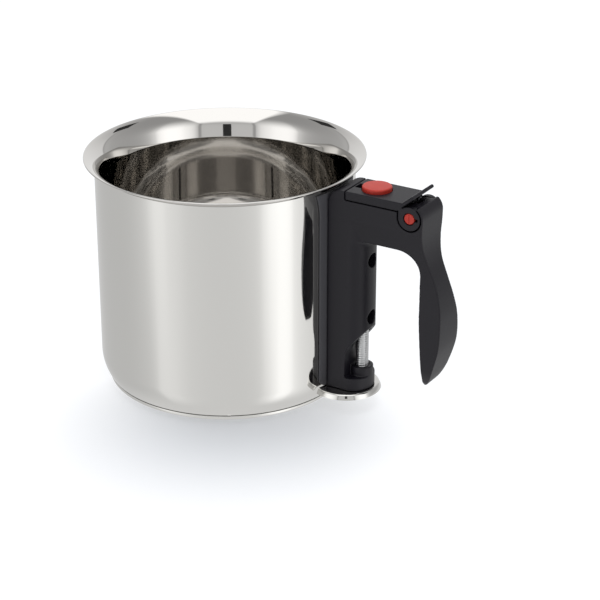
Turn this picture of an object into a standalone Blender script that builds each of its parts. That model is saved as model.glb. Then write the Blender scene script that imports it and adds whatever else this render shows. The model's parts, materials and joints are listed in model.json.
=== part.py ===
"""Double-walled melting pot with a water filler in its handle, as an assembly of separate pieces.

Metres, +Z up. The origin lies on the pot's axis, on the surface that the pot stands on.
The handle points along +X, and its sides face -Y and +Y.
"""
import math

import bmesh
import bpy
from mathutils import Matrix, Vector

MM = 0.001

# Fits between pieces
CLEAR = 0.3 * MM            # pieces that touch on the real pot
RUN = 0.4 * MM              # pieces that move past each other
OVERCUT = 5.0 * MM          # how far a cutter runs past the face it cuts
MERGE = 0.00001

# Facets round a full turn
POT_STEPS = 60
PIECE_STEPS = 28
SMALL_STEPS = 20
HOLE_STEPS = 8              # sound holes
HEX_SIDES = 6
# Facets along shorter runs
ARC_STEPS = 4
BEND_STEPS = 3              # bend of the flame guard
NOSE_STEPS = 14
SADDLE_STEPS = 16
FLOW_STEPS = 2              # between two points of the grip's edge
BEVEL_STEPS = 2
GRIP_BANDS = 14

# Pot: outer shell, inner bowl and lip
POT_RADIUS = 80.0 * MM
POT_HEIGHT = 144.9 * MM
SHEET = 0.9 * MM            # steel sheet of shell and bowl
JACKET = 4.2 * MM           # water space between the walls
JACKET_DEPTH = 22.0 * MM    # water space under the bowl
BOWL_CORNER = 18.0 * MM
# Bends of the lip from the wall to the rim: radius, degrees that it leans at the end, and facets
LIP_BENDS = [(3.0 * MM, 15.0, 1), (75.0 * MM, 20.5, 1), (13.9 * MM, 77.5, 5)]
TURN_RADIUS = 27.8 * MM     # rounded lower edge of the shell
TURN_ANGLE = 32.0           # degrees that the lower edge turns inwards

# Base: aluminium core in a steel cap
BASE_SEAM = 3.4 * MM        # height of the seam above the floor
BASE_RECESS = 2.8 * MM      # how far the core reaches up into the shell
BASE_FLANGE = 2.0 * MM      # width of the shell's turned edge at the seam
CAP_SHEET = 0.9 * MM
CAP_SET_BACK = 0.5 * MM     # cap edge behind the shell at the seam
SEAM_GAP = 0.9 * MM         # open joint between shell and cap
CAP_ROUND = 1.2 * MM

# Spacer between wall and handle
SPACER_THICK = 1.0 * MM
SPACER_HALF = 18.0 * MM
SPACER_FLARE = 2.7 * MM     # extra half width under the lip
SPACER_FLARE_RISE = 15.0 * MM
SPACER_FOOT = 13.0 * MM     # height of its lower end
SPACER_DROP = 6.5 * MM      # its upper end below the lip
SPACER_ROUND = 5.0 * MM

# Handle body
HANDLE_HALF = 13.0 * MM     # half the width of column and beam
NOSE_REACH = 14.2 * MM      # outer wall of the pot to the start of the column's rounded nose
NOSE_DEPTH = 10.8 * MM
COLUMN_EDGE = 1.0 * MM
COLUMN_INSET = 0.05 * MM    # keeps faces of joined shapes out of one plane
GAP_WIDTH = 1.0 * MM        # shadow gap between spacer and column
GAP_DEPTH = 3.0 * MM
BEAM_DROP = 33.4 * MM       # underside of the beam below the lip
BEAM_EDGE = 1.6 * MM
HEAD_REACH = 11.9 * MM      # outer wall of the pot to the end of the flap
HEAD_ROUND = 9.5 * MM
GRIP_FILLET = 17.0 * MM     # inside corner between beam and grip
# Outer and inner edge of the grip, in mm from the hinge axis, outwards and upwards
GRIP_OUTER = [(8.6, -15.3), (11.0, -27.3), (16.2, -40.3), (19.6, -51.3), (21.4, -62.8),
              (21.0, -79.3), (16.8, -94.8), (13.4, -103.0)]
GRIP_TIP = (10.2, -106.8)
GRIP_INNER = [(8.9, -105.0), (9.3, -97.3), (8.5, -79.3), (6.9, -60.3), (5.8, -44.3)]
# Width of the grip as a share of the beam's, at heights in mm from the hinge axis
GRIP_WIDTHS = [(-9.0, 1.0), (-18.0, 0.87), (-27.0, 0.71), (-40.0, 0.65), (-52.0, 0.74), (-64.0, 0.88),
               (-80.0, 0.94), (-95.0, 0.86), (-103.0, 0.64), (-108.0, 0.36)]

# Window in the nose, over the foot
SILL_TOP = 24.5 * MM        # sill at the front of the window
SILL_THICK = 2.4 * MM
WINDOW_FLOOR = 20.7 * MM
WINDOW_DEPTH = 12.0 * MM    # front of the nose to the back of the window
WINDOW_BACK_TOP = 38.6 * MM
WINDOW_TOP = 53.2 * MM      # its sloping roof at the front of the nose
WINDOW_ROUND = 4.0 * MM
BOSS_RADIUS = 6.0 * MM      # collar round the stud
BOSS_TOP = 26.0 * MM

# Flap, its hinge and its thumb tab
FLAP_DROP = 2.8 * MM        # top of the flap below the lip
FLAP_THICK = 5.4 * MM
FLAP_EDGE = 0.8 * MM
HINGE_REACH = 55.0 * MM     # outer wall of the pot to the hinge axis
HINGE_DROP = 8.8 * MM       # hinge axis below the top of the flap
EAR_RADIUS = 7.6 * MM
EAR_THICK = 3.85 * MM
EAR_RISE = 5.5 * MM         # neck of the ear, from the hinge axis up into the flap
SHOULDER_RADIUS = 8.9 * MM  # rounded end of the handle, about the hinge
LUG_RADIUS = 6.9 * MM
TAB_ANGLE = 40.0            # degrees above the flap
TAB_THICK = 2.2 * MM
TAB_LENGTH = 10.3 * MM      # past the point of the tab nearest to the hinge
TAB_GAP = 0.9 * MM          # tab to lug
PIN_RADIUS = 3.4 * MM
PIN_SET_BACK = 0.4 * MM
PIN_SLOT = 0.8 * MM
KEY_REACH = 5.6 * MM        # keyhole tail in the ear, from the pin's axis
KEY_WIDTH = 1.8 * MM

# Red vent button in the flap
BUTTON_REACH = 26.7 * MM    # outer wall of the pot to the button's axis
BUTTON_RADIUS = 8.9 * MM
BUTTON_PROUD = 2.4 * MM
BUTTON_TRAVEL = 1.6 * MM
BUTTON_TOP_THICK = 1.4 * MM
BUTTON_WALL = 2.0 * MM
BUTTON_CHAMFER = 1.0 * MM
WELL_FLOOR = 2.2 * MM       # flap material under the button's well
STEM_RADIUS = 2.0 * MM
STEM_TAIL = 1.0 * MM        # stem below the clip
OUTLET_LENGTH = 4.2 * MM    # steam outlet beside the button
OUTLET_HALF = 3.4 * MM
CLIP_THICK = 0.7 * MM
CLIP_RADIUS = 3.6 * MM
CLIP_GROOVE = 0.6 * MM
PLATE_RADIUS = 6.0 * MM
PLATE_THICK = 0.6 * MM
SOUND_HOLES = 4
SOUND_HOLE_RADIUS = 0.9 * MM
SOUND_CIRCLE = 4.1 * MM

# Filler neck, nozzle and their seals
NECK_BORE = 7.0 * MM
NECK_WALL = 1.0 * MM
NECK_FLANGE = 10.2 * MM
NECK_FLANGE_THICK = 1.2 * MM
NECK_SET_BACK = 1.2 * MM    # flange below the seat of the flap
NECK_DEPTH = 18.0 * MM
SEAL_THICK = 1.0 * MM
NOZZLE_DROP = 20.9 * MM     # nozzle axis below the lip
NOZZLE_RADIUS = 5.0 * MM
NOZZLE_WALL = 1.0 * MM
NOZZLE_FLANGE = 8.0 * MM
NOZZLE_FLANGE_THICK = 1.0 * MM
GASKET_RADIUS = 6.5 * MM
GASKET_LENGTH = 2.4 * MM

# Bracket on the wall and the two handle screws
BRACKET_HALF = 8.0 * MM
BRACKET_SHEET = 2.0 * MM
BRACKET_DEPTH = 4.6 * MM    # outer wall of the pot to the back of the bracket's web
BRACKET_MARGIN = 9.0 * MM   # bracket beyond the screws, up and down
UPPER_SCREW_DROP = 48.3 * MM    # below the lip
LOWER_SCREW_HEIGHT = 59.6 * MM  # above the floor
SCREW_RADIUS = 2.5 * MM
SCREW_HEAD_RADIUS = 4.0 * MM
SCREW_HEAD_THICK = 2.6 * MM
SCREW_SOCKET = 1.6 * MM
ACCESS_RADIUS = 4.6 * MM
ACCESS_SEAT = 5.0 * MM      # wall between bracket and screw head

# Flame guard and its stud
GUARD_RADIUS = 21.8 * MM
GUARD_REACH = 6.9 * MM      # outer wall of the pot to the guard's axis
GUARD_TOP = 12.4 * MM
GUARD_SHEET = 0.9 * MM
GUARD_BEND = 1.5 * MM
GUARD_SKIRT = 3.3 * MM      # height of the slanting rim
GUARD_LEAN = 24.0           # degrees that the rim slants outwards
STUD_REACH = 18.2 * MM      # outer wall of the pot to the stud's axis
STUD_RADIUS = 4.0 * MM
STUD_END = 7.2 * MM
INSERT_RADIUS = 5.0 * MM
INSERT_LENGTH = 2.6 * MM
INSERT_TOP = 53.8 * MM
WASHER_RADIUS = 8.2 * MM
WASHER_THICK = 0.9 * MM
NUT_RADIUS = 6.4 * MM
NUT_THICK = 2.4 * MM

# Springs
LID_WIRE = 0.9 * MM
LID_COIL_RADIUS = 4.6 * MM
LID_COIL_TURNS = 3          # whole turns, besides the part turn between the two legs
LID_COIL_PITCH = 1.5 * MM
LID_LEG_LEAN = 15.0         # degrees that the upper leg leans towards the tab
LID_LEG = 4.9 * MM          # lower leg, from the hinge axis outwards
BUTTON_WIRE = 0.7 * MM
BUTTON_COIL_RADIUS = 3.2 * MM
BUTTON_COIL_TURNS = 2
COIL_POINTS = 10
POCKET_HALF = 3.6 * MM      # half width of the spring's pocket in the lug

# Worked out from the sizes above: the pot
SHELL_INSIDE = POT_RADIUS - SHEET
BOWL_OUTSIDE = SHELL_INSIDE - JACKET
BOWL_INSIDE = BOWL_OUTSIDE - SHEET
TURN_DROP = TURN_RADIUS * math.sin(math.radians(TURN_ANGLE))
SEAM_RADIUS = POT_RADIUS - TURN_RADIUS * (1 - math.cos(math.radians(TURN_ANGLE)))
TURN_START = BASE_SEAM + TURN_DROP
RECESS_RADIUS = SEAM_RADIUS - BASE_FLANGE
SHELL_FLOOR = BASE_SEAM + BASE_RECESS + SHEET
BOWL_FLOOR = SHELL_FLOOR + JACKET_DEPTH + SHEET

# Worked out: the handle
WALL = POT_RADIUS + CLEAR
SPACER_OUTSIDE = WALL + SPACER_THICK
SADDLE_RADIUS = SPACER_OUTSIDE + CLEAR
COLUMN_BACK = math.sqrt(SADDLE_RADIUS ** 2 - HANDLE_HALF ** 2)
NOSE_START = POT_RADIUS + NOSE_REACH
NOSE_FRONT = NOSE_START + NOSE_DEPTH
FOOT_BOTTOM = GUARD_TOP + CLEAR
BEAM_BOTTOM = POT_HEIGHT - BEAM_DROP
FLAP_TOP = POT_HEIGHT - FLAP_DROP
FLAP_BOTTOM = FLAP_TOP - FLAP_THICK
FLAP_SEAT = FLAP_BOTTOM - RUN
HEAD_END = POT_RADIUS + HEAD_REACH
FLAP_END = HEAD_END + RUN
HINGE = Vector((POT_RADIUS + HINGE_REACH, 0.0, FLAP_TOP - HINGE_DROP))
SHOULDER_TOP = HINGE.z + LUG_RADIUS
EAR_INSIDE = HANDLE_HALF - EAR_THICK
LUG_HALF = EAR_INSIDE - CLEAR
BUTTON_AXIS = POT_RADIUS + BUTTON_REACH
STUD_AXIS = POT_RADIUS + STUD_REACH
GUARD_AXIS = POT_RADIUS + GUARD_REACH
WEB_BACK = POT_RADIUS + BRACKET_DEPTH
WEB_FRONT = WEB_BACK + BRACKET_SHEET
SCREW_SEAT = WEB_FRONT + CLEAR + ACCESS_SEAT
UPPER_SCREW = POT_HEIGHT - UPPER_SCREW_DROP
NOZZLE_HEIGHT = POT_HEIGHT - NOZZLE_DROP
NECK_TOP = FLAP_SEAT - NECK_SET_BACK
WELL_BOTTOM = FLAP_BOTTOM + WELL_FLOOR
PLATE_BOTTOM = FLAP_BOTTOM
CLIP_TOP = PLATE_BOTTOM - CLEAR
GASKET_END = BUTTON_AXIS - NECK_BORE - NECK_WALL - CLEAR
GASKET_START = GASKET_END - GASKET_LENGTH

# How a piece made upright is turned to lie along an axis
AXIS_TURN = {
    "X": (0.0, math.pi / 2, 0.0),
    "Y": (-math.pi / 2, 0.0, 0.0),
    "Z": (0.0, 0.0, 0.0),
}

PARTS = bpy.data.collections.new("melting_pot")
CUTTERS = bpy.data.collections.new("cutters")


def clear_scene():
    for item in list(bpy.data.objects):
        bpy.data.objects.remove(item, do_unlink=True)
    for collection in (PARTS, CUTTERS):
        bpy.context.scene.collection.children.link(collection)


def material(name, colour, roughness, metallic):
    made = bpy.data.materials.new(name)
    made.use_nodes = True
    shader = made.node_tree.nodes["Principled BSDF"]
    shader.inputs["Base Color"].default_value = (*colour, 1.0)
    shader.inputs["Roughness"].default_value = roughness
    shader.inputs["Metallic"].default_value = metallic
    return made


def keep(piece, finish):
    """Put a finished piece among the parts, with its material."""
    PARTS.objects.link(piece)
    piece.data.materials.clear()
    piece.data.materials.append(finish)
    return piece


def cutter(shape):
    """Put a shape among the cutters, out of the finished object."""
    CUTTERS.objects.link(shape)
    shape.hide_render = True
    shape.display_type = "WIRE"
    return shape


def combine(piece, other, operation):
    step = piece.modifiers.new(other.name, "BOOLEAN")
    step.operation = operation
    step.object = cutter(other)
    return piece


def cut(piece, *shapes):
    for shape in shapes:
        combine(piece, shape, "DIFFERENCE")
    return piece


def join(piece, *shapes):
    for shape in shapes:
        combine(piece, shape, "UNION")
    return piece


def turned(name, profile, steps, place=(0.0, 0.0, 0.0), axis="Z"):
    """Turn (radius, height) points about an axis; the profile runs down its outer side."""
    count = len(profile)
    edges = [(index, index + 1) for index in range(count - 1)]
    if profile[0][0] > 0:
        edges.append((count - 1, 0))
    mesh = bpy.data.meshes.new(name)
    mesh.from_pydata([(radius, 0.0, height) for radius, height in profile], edges, [])
    piece = bpy.data.objects.new(name, mesh)
    screw = piece.modifiers.new("turn", "SCREW")
    screw.steps = steps
    screw.render_steps = steps
    screw.use_merge_vertices = True
    screw.merge_threshold = MERGE
    piece.location = place
    piece.rotation_euler = AXIS_TURN[axis]
    return piece


def rod(name, radius, low, high, steps, place=(0.0, 0.0, 0.0), axis="Z"):
    """Cylinder from low to high along its axis, which passes through place."""
    shape = bmesh.new()
    middle = Matrix.Translation((0.0, 0.0, (low + high) / 2))
    bmesh.ops.create_cone(shape, cap_ends=True, segments=steps, radius1=radius, radius2=radius,
                          depth=high - low, matrix=middle)
    piece = from_bmesh(name, shape)
    piece.location = place
    piece.rotation_euler = AXIS_TURN[axis]
    return piece


def block(name, low, high):
    """Box between two corners."""
    low = Vector(low)
    high = Vector(high)
    shape = bmesh.new()
    size = Matrix.Diagonal((*(high - low), 1.0))
    bmesh.ops.create_cube(shape, size=1.0, matrix=Matrix.Translation((low + high) / 2) @ size)
    return from_bmesh(name, shape)


def from_bmesh(name, shape):
    mesh = bpy.data.meshes.new(name)
    shape.to_mesh(mesh)
    shape.free()
    return bpy.data.objects.new(name, mesh)


def made_solid(piece, flat=True):
    """Turn a curve, or an object with modifiers, into a plain welded mesh in the same place."""
    bpy.context.scene.collection.objects.link(piece)
    graph = bpy.context.evaluated_depsgraph_get()
    graph.update()
    mesh = bpy.data.meshes.new_from_object(piece.evaluated_get(graph))
    shape = bmesh.new()
    shape.from_mesh(mesh)
    bmesh.ops.remove_doubles(shape, verts=shape.verts, dist=MERGE)
    if flat:
        bmesh.ops.dissolve_limit(shape, angle_limit=math.radians(0.5), verts=shape.verts, edges=shape.edges)
    bmesh.ops.recalc_face_normals(shape, faces=shape.faces)
    shape.to_mesh(mesh)
    shape.free()
    solid = bpy.data.objects.new(piece.name, mesh)
    solid.matrix_world = piece.matrix_world.copy()
    name = piece.name
    bpy.data.objects.remove(piece, do_unlink=True)
    solid.name = name
    return solid


def slab(name, outline, half, turn=(math.pi / 2, 0.0, 0.0), place=(0.0, 0.0, 0.0)):
    """Flat outline with thickness to both sides; unturned it lies in XY, by default it stands in XZ."""
    curve = bpy.data.curves.new(name, "CURVE")
    curve.dimensions = "2D"
    curve.fill_mode = "BOTH"
    curve.extrude = half
    spline = curve.splines.new("POLY")
    spline.points.add(len(outline) - 1)
    for point, (across, up) in zip(spline.points, outline):
        point.co = (across, up, 0.0, 1.0)
    spline.use_cyclic_u = True
    piece = bpy.data.objects.new(name, curve)
    piece.rotation_euler = turn
    piece.location = place
    return made_solid(piece)


def wire(name, points, thickness):
    """Round wire along points, its ends closed."""
    curve = bpy.data.curves.new(name, "CURVE")
    curve.dimensions = "3D"
    curve.bevel_depth = thickness / 2
    curve.bevel_resolution = 1
    curve.use_fill_caps = True
    spline = curve.splines.new("POLY")
    spline.points.add(len(points) - 1)
    for point, spot in zip(spline.points, points):
        point.co = (*spot, 1.0)
    return made_solid(bpy.data.objects.new(name, curve), flat=False)


def rounded(piece, width, limit=50.0):
    bevel = piece.modifiers.new("edges", "BEVEL")
    bevel.width = width
    bevel.segments = BEVEL_STEPS
    bevel.limit_method = "ANGLE"
    bevel.angle_limit = math.radians(limit)
    return piece


def shaded(piece, angle=35.0):
    piece.data.shade_smooth()
    piece.data.set_sharp_from_angle(angle=math.radians(angle))
    return piece


def arc(centre, radius, start, end, steps):
    """Points on a circle from one angle to another, in degrees."""
    points = []
    for index in range(steps + 1):
        angle = math.radians(start + (end - start) * index / steps)
        points.append((centre[0] + radius * math.cos(angle), centre[1] + radius * math.sin(angle)))
    return points


def flow(points, steps):
    """Smooth run through points, without the first and last, which only steer its ends."""
    run = []
    for before, start, end, after in zip(points, points[1:], points[2:], points[3:]):
        for index in range(steps):
            run.append(flow_point(before, start, end, after, index / steps))
    run.append(points[-2])
    return run


def flow_point(before, start, end, after, share):
    spot = []
    for a, b, c, d in zip(before, start, end, after):
        curve = 2 * b + (c - a) * share + (2 * a - 5 * b + 4 * c - d) * share ** 2
        spot.append((curve + (3 * b - a - 3 * c + d) * share ** 3) / 2)
    return tuple(spot)


def wall_cutter(name, radius):
    return rod(name, radius, -OVERCUT, POT_HEIGHT + OVERCUT, POT_STEPS)


def lip_curve():
    """Inside of the lip from the wall to the rim, as (radius, height, lean in degrees)."""
    points = [(BOWL_INSIDE, 0.0, 0.0)]
    for bend, end_lean, steps in LIP_BENDS:
        radius, height, lean = points[-1]
        start = math.radians(lean)
        for index in range(1, steps + 1):
            reached = lean + (end_lean - lean) * index / steps
            angle = math.radians(reached)
            across = radius + bend * (math.cos(start) - math.cos(angle))
            points.append((across, height + bend * (math.sin(angle) - math.sin(start)), reached))
    lift = POT_HEIGHT - points[-1][1]
    return [(radius, height + lift, lean) for radius, height, lean in points]


def under_lip():
    """Outside of the lip, a sheet's thickness further out."""
    points = []
    for radius, height, lean in lip_curve():
        angle = math.radians(lean)
        points.append((radius + SHEET * math.cos(angle), height - SHEET * math.sin(angle)))
    return points


def height_under_lip(radius):
    points = under_lip()
    for (near, low), (far, high) in zip(points, points[1:]):
        if near < radius <= far:
            return low + (high - low) * (radius - near) / (far - near)
    return points[0][1]


def outer_shell(finish):
    turn_centre = (POT_RADIUS - TURN_RADIUS, TURN_START)
    inside_angle = math.degrees(math.asin((TURN_START - SHELL_FLOOR) / (TURN_RADIUS - SHEET)))
    top = height_under_lip(SHELL_INSIDE) - CLEAR
    profile = [(0.0, SHELL_FLOOR)]
    profile += arc(turn_centre, TURN_RADIUS - SHEET, -inside_angle, 0.0, ARC_STEPS)
    profile += [(SHELL_INSIDE, top), (POT_RADIUS, top)]
    profile += arc(turn_centre, TURN_RADIUS, 0.0, -TURN_ANGLE, ARC_STEPS)
    under = SHELL_FLOOR - SHEET
    profile += [(RECESS_RADIUS, BASE_SEAM), (RECESS_RADIUS, under), (0.0, under)]
    shell = turned("outer_shell", profile, POT_STEPS)
    port = rod("nozzle_port", NOZZLE_RADIUS + CLEAR, BOWL_OUTSIDE, POT_RADIUS + OVERCUT, PIECE_STEPS,
               (0.0, 0.0, NOZZLE_HEIGHT), "X")
    return keep(cut(shell, port), finish)


def inner_bowl(finish):
    corner = (BOWL_INSIDE - BOWL_CORNER, BOWL_FLOOR + BOWL_CORNER)
    profile = [(0.0, BOWL_FLOOR)]
    profile += arc(corner, BOWL_CORNER, -90.0, 0.0, ARC_STEPS)
    profile += [(radius, height) for radius, height, _ in lip_curve()]
    profile += reversed(under_lip())
    profile += arc(corner, BOWL_CORNER + SHEET, 0.0, -90.0, ARC_STEPS)
    profile += [(0.0, BOWL_FLOOR - SHEET)]
    return keep(turned("inner_bowl", profile, POT_STEPS), finish)


def base_core(finish):
    radius = SEAM_RADIUS - BASE_FLANGE - CLEAR
    low = CAP_SHEET + CLEAR
    high = BASE_SEAM + BASE_RECESS - CLEAR
    return keep(rod("base_core", radius, low, high, POT_STEPS), finish)


def base_cap(finish):
    outside = SEAM_RADIUS - CAP_SET_BACK
    inside = RECESS_RADIUS
    top = BASE_SEAM - SEAM_GAP
    profile = [(0.0, CAP_SHEET), (inside, CAP_SHEET), (inside, top), (outside, top)]
    profile += arc((outside - CAP_ROUND, CAP_ROUND), CAP_ROUND, 0.0, -90.0, ARC_STEPS)
    profile += [(0.0, 0.0)]
    return keep(turned("base_cap", profile, POT_STEPS), finish)


def handle_spacer(finish):
    """Saddle that hugs the wall, flared under the lip and open for bracket and nozzle."""
    top = POT_HEIGHT - SPACER_DROP
    widest = SPACER_HALF + SPACER_FLARE
    reach = math.degrees(math.asin(widest / WALL))
    plan = arc((0.0, 0.0), SPACER_OUTSIDE, -reach, reach, SADDLE_STEPS)
    plan += arc((0.0, 0.0), WALL, reach, -reach, SADDLE_STEPS)
    height = top - SPACER_FOOT
    saddle = slab("handle_spacer", plan, height / 2, (0.0, 0.0, 0.0), (0.0, 0.0, SPACER_FOOT + height / 2))
    side = arc((SPACER_HALF - SPACER_ROUND, SPACER_FOOT + SPACER_ROUND), SPACER_ROUND, -90.0, 0.0, ARC_STEPS)
    flare_start = top - SPACER_FLARE_RISE
    for index in range(ARC_STEPS + 1):
        share = index / ARC_STEPS
        side.append((SPACER_HALF + SPACER_FLARE * share ** 2, flare_start + SPACER_FLARE_RISE * share))
    side[-1] = (side[-1][0], top + OVERCUT)
    outline = side + [(-across, up) for across, up in reversed(side)]
    across_x = (math.pi / 2, 0.0, math.pi / 2)
    place = (SPACER_OUTSIDE - HANDLE_HALF / 2, 0.0, 0.0)
    shape = slab("spacer_outline", outline, HANDLE_HALF, across_x, place)
    combine(saddle, shape, "INTERSECT")
    cut(saddle, bracket_room("spacer_opening"))
    axis = (0.0, 0.0, NOZZLE_HEIGHT)
    end = SADDLE_RADIUS + OVERCUT
    port = rod("spacer_port", NOZZLE_RADIUS + CLEAR, BOWL_OUTSIDE, end, SMALL_STEPS, axis, "X")
    return keep(cut(saddle, port), finish)


def bracket_room(name):
    """Space for the bracket, with its clearance, from inside the wall out to the web."""
    half = BRACKET_HALF + CLEAR
    low = LOWER_SCREW_HEIGHT - BRACKET_MARGIN - CLEAR
    high = UPPER_SCREW + BRACKET_MARGIN + CLEAR
    return block(name, (POT_RADIUS - OVERCUT, -half, low), (WEB_FRONT + CLEAR, half, high))


def handle_bracket(finish):
    """Channel with its open side welded to the wall."""
    low = LOWER_SCREW_HEIGHT - BRACKET_MARGIN
    high = UPPER_SCREW + BRACKET_MARGIN
    inside = BRACKET_HALF - BRACKET_SHEET
    back = POT_RADIUS - OVERCUT
    channel = block("handle_bracket", (back, -BRACKET_HALF, low), (WEB_FRONT, BRACKET_HALF, high))
    hollow = block("bracket_hollow", (0.0, -inside, low - OVERCUT), (WEB_BACK, inside, high + OVERCUT))
    cut(channel, hollow, wall_cutter("bracket_wall", WALL))
    for height in (LOWER_SCREW_HEIGHT, UPPER_SCREW):
        cut(channel, rod("bracket_hole", SCREW_RADIUS + CLEAR, POT_RADIUS, WEB_FRONT + OVERCUT, SMALL_STEPS,
                         (0.0, 0.0, height), "X"))
    return keep(channel, finish)


def handle_screw(name, height, finish):
    """Socket-head screw through the column into the bracket."""
    start = WEB_BACK - OVERCUT / 2
    under_head = SCREW_SEAT + CLEAR
    top = under_head + SCREW_HEAD_THICK
    profile = [(0.0, top), (SCREW_HEAD_RADIUS, top), (SCREW_HEAD_RADIUS, under_head)]
    profile += [(SCREW_RADIUS, under_head), (SCREW_RADIUS, start), (0.0, start)]
    screw = turned(name, profile, SMALL_STEPS, (0.0, 0.0, height), "X")
    bottom = top - SCREW_HEAD_THICK / 2
    socket = rod("screw_socket", SCREW_SOCKET, bottom, top + OVERCUT, HEX_SIDES, (0.0, 0.0, height), "X")
    return keep(cut(screw, socket), finish)


def grip_width(height):
    """Width of the handle at a height as a share of the beam's, on a smooth curve through the stations."""
    drop = (height - HINGE.z) / MM
    drops = [place for place, _ in GRIP_WIDTHS]
    widths = [width for _, width in GRIP_WIDTHS]
    if drop >= drops[0]:
        return widths[0]
    if drop <= drops[-1]:
        return widths[-1]
    start = max(index for index, place in enumerate(drops) if drop < place)
    span = drops[start + 1] - drops[start]
    share = (drop - drops[start]) / span
    rise = [slope_at(drops, widths, index) * span for index in (start, start + 1)]
    ease = share * share * (3 - 2 * share)
    value = widths[start] + (widths[start + 1] - widths[start]) * ease
    return value + rise[0] * share * (1 - share) ** 2 - rise[1] * share ** 2 * (1 - share)


def slope_at(places, values, index):
    """Slope at a station, from the stations on both sides of it."""
    low = max(index - 1, 0)
    high = min(index + 1, len(places) - 1)
    return (values[high] - values[low]) / (places[high] - places[low])


def narrow_grip(beam):
    """Give the grip its width, in level bands that each stay flat at the sides."""
    shape = bmesh.new()
    shape.from_mesh(beam.data)
    low = HINGE.z + GRIP_WIDTHS[-1][0] * MM
    high = HINGE.z + GRIP_WIDTHS[0][0] * MM
    for index in range(GRIP_BANDS + 1):
        level = (0.0, low + (high - low) * index / GRIP_BANDS, 0.0)
        everything = shape.verts[:] + shape.edges[:] + shape.faces[:]
        bmesh.ops.bisect_plane(shape, geom=everything, dist=MERGE, plane_co=level, plane_no=(0.0, 1.0, 0.0))
    for point in shape.verts:
        point.co.z *= grip_width(point.co.y)
    shape.to_mesh(beam.data)
    shape.free()


def beam_outline():
    """Side view of head, beam and grip, from the back of the column round the top."""
    hinge = (HINGE.x, HINGE.z)
    at_hinge = [(HINGE.x + out * MM, HINGE.z + up * MM) for out, up in GRIP_OUTER + [GRIP_TIP] + GRIP_INNER]
    seat_angle = math.degrees(math.asin((FLAP_SEAT - HINGE.z) / LUG_RADIUS))
    stop_angle = math.degrees(math.asin((SHOULDER_TOP - HINGE.z) / SHOULDER_RADIUS))
    shoulder_end = (HINGE.x + SHOULDER_RADIUS, HINGE.z)
    fillet_x = at_hinge[-1][0] - GRIP_FILLET
    fillet = arc((fillet_x, BEAM_BOTTOM - GRIP_FILLET), GRIP_FILLET, 0.0, 90.0, ARC_STEPS)
    outline = [(COLUMN_BACK, BEAM_BOTTOM)]
    outline += arc((COLUMN_BACK + HEAD_ROUND, FLAP_TOP - HEAD_ROUND), HEAD_ROUND, 180.0, 90.0, ARC_STEPS)
    outline += [(HEAD_END, FLAP_TOP), (HEAD_END, FLAP_SEAT)]
    outline += arc(hinge, LUG_RADIUS, 180.0 - seat_angle, 90.0, ARC_STEPS)
    outline += arc(hinge, SHOULDER_RADIUS, stop_angle, 0.0, ARC_STEPS)
    above = (shoulder_end[0], shoulder_end[1] + SHOULDER_RADIUS)
    outline += flow([above, shoulder_end] + at_hinge + fillet[:2], FLOW_STEPS)[1:]
    outline += fillet
    return outline


def window_outline():
    """Side view of the window: sill, floor, back with a rounded top and a roof that rises to the front."""
    back = NOSE_FRONT - WINDOW_DEPTH
    slope = math.atan2(WINDOW_TOP - WINDOW_BACK_TOP, WINDOW_DEPTH)
    front = NOSE_FRONT + OVERCUT
    reach = WINDOW_TOP + OVERCUT * math.tan(slope)
    turn = 90.0 - math.degrees(slope)
    setback = WINDOW_ROUND * math.tan(math.radians(turn) / 2)
    centre = (back + WINDOW_ROUND, WINDOW_BACK_TOP - setback)
    sill = NOSE_FRONT - SILL_THICK
    outline = [(front, SILL_TOP), (sill, SILL_TOP), (sill, WINDOW_FLOOR), (back, WINDOW_FLOOR)]
    outline += arc(centre, WINDOW_ROUND, 180.0, 180.0 - turn, ARC_STEPS)
    outline += [(front, reach)]
    return outline


def handle_body(finish):
    """Column with a rounded nose, beam and grip, moulded in one."""
    beam = slab("handle_body", beam_outline(), HANDLE_HALF)
    beam = made_solid(rounded(beam, BEAM_EDGE))
    narrow_grip(beam)
    back = COLUMN_BACK - COLUMN_EDGE
    half = HANDLE_HALF - COLUMN_INSET
    plan = [(back, half), (back, -half)]
    for across, side in arc((0.0, 0.0), half, -90.0, 90.0, NOSE_STEPS):
        plan.append((NOSE_START + across * NOSE_DEPTH / half, side))
    top = BEAM_BOTTOM + GRIP_FILLET
    height = top - FOOT_BOTTOM
    column = slab("column", plan, height / 2, (0.0, 0.0, 0.0), (0.0, 0.0, FOOT_BOTTOM + height / 2))
    join(beam, rounded(column, COLUMN_EDGE))
    cut(beam, wall_cutter("saddle", SADDLE_RADIUS))
    cut_shadow_gaps(beam)
    cut(beam, slab("window", window_outline(), HANDLE_HALF + OVERCUT))
    stud = (STUD_AXIS, 0.0, 0.0)
    join(beam, rod("stud_boss", BOSS_RADIUS, WINDOW_FLOOR - OVERCUT, BOSS_TOP, PIECE_STEPS, stud))
    cut(beam, bracket_room("bracket_pocket"))
    cut_screw_holes(beam)
    cut_filler_room(beam)
    cut_hinge_room(beam)
    cut_stud_room(beam)
    return keep(beam, finish)


def cut_shadow_gaps(body):
    """Step along the back edges of the column, which shows as a dark line beside the spacer."""
    back = POT_RADIUS - OVERCUT
    front = COLUMN_BACK + GAP_WIDTH
    for side in (-1, 1):
        low, high = sorted((side * (HANDLE_HALF - GAP_DEPTH), side * (HANDLE_HALF + OVERCUT)))
        cut(body, block("shadow_gap", (back, low, 0.0), (front, high, FLAP_TOP + OVERCUT)))


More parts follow.
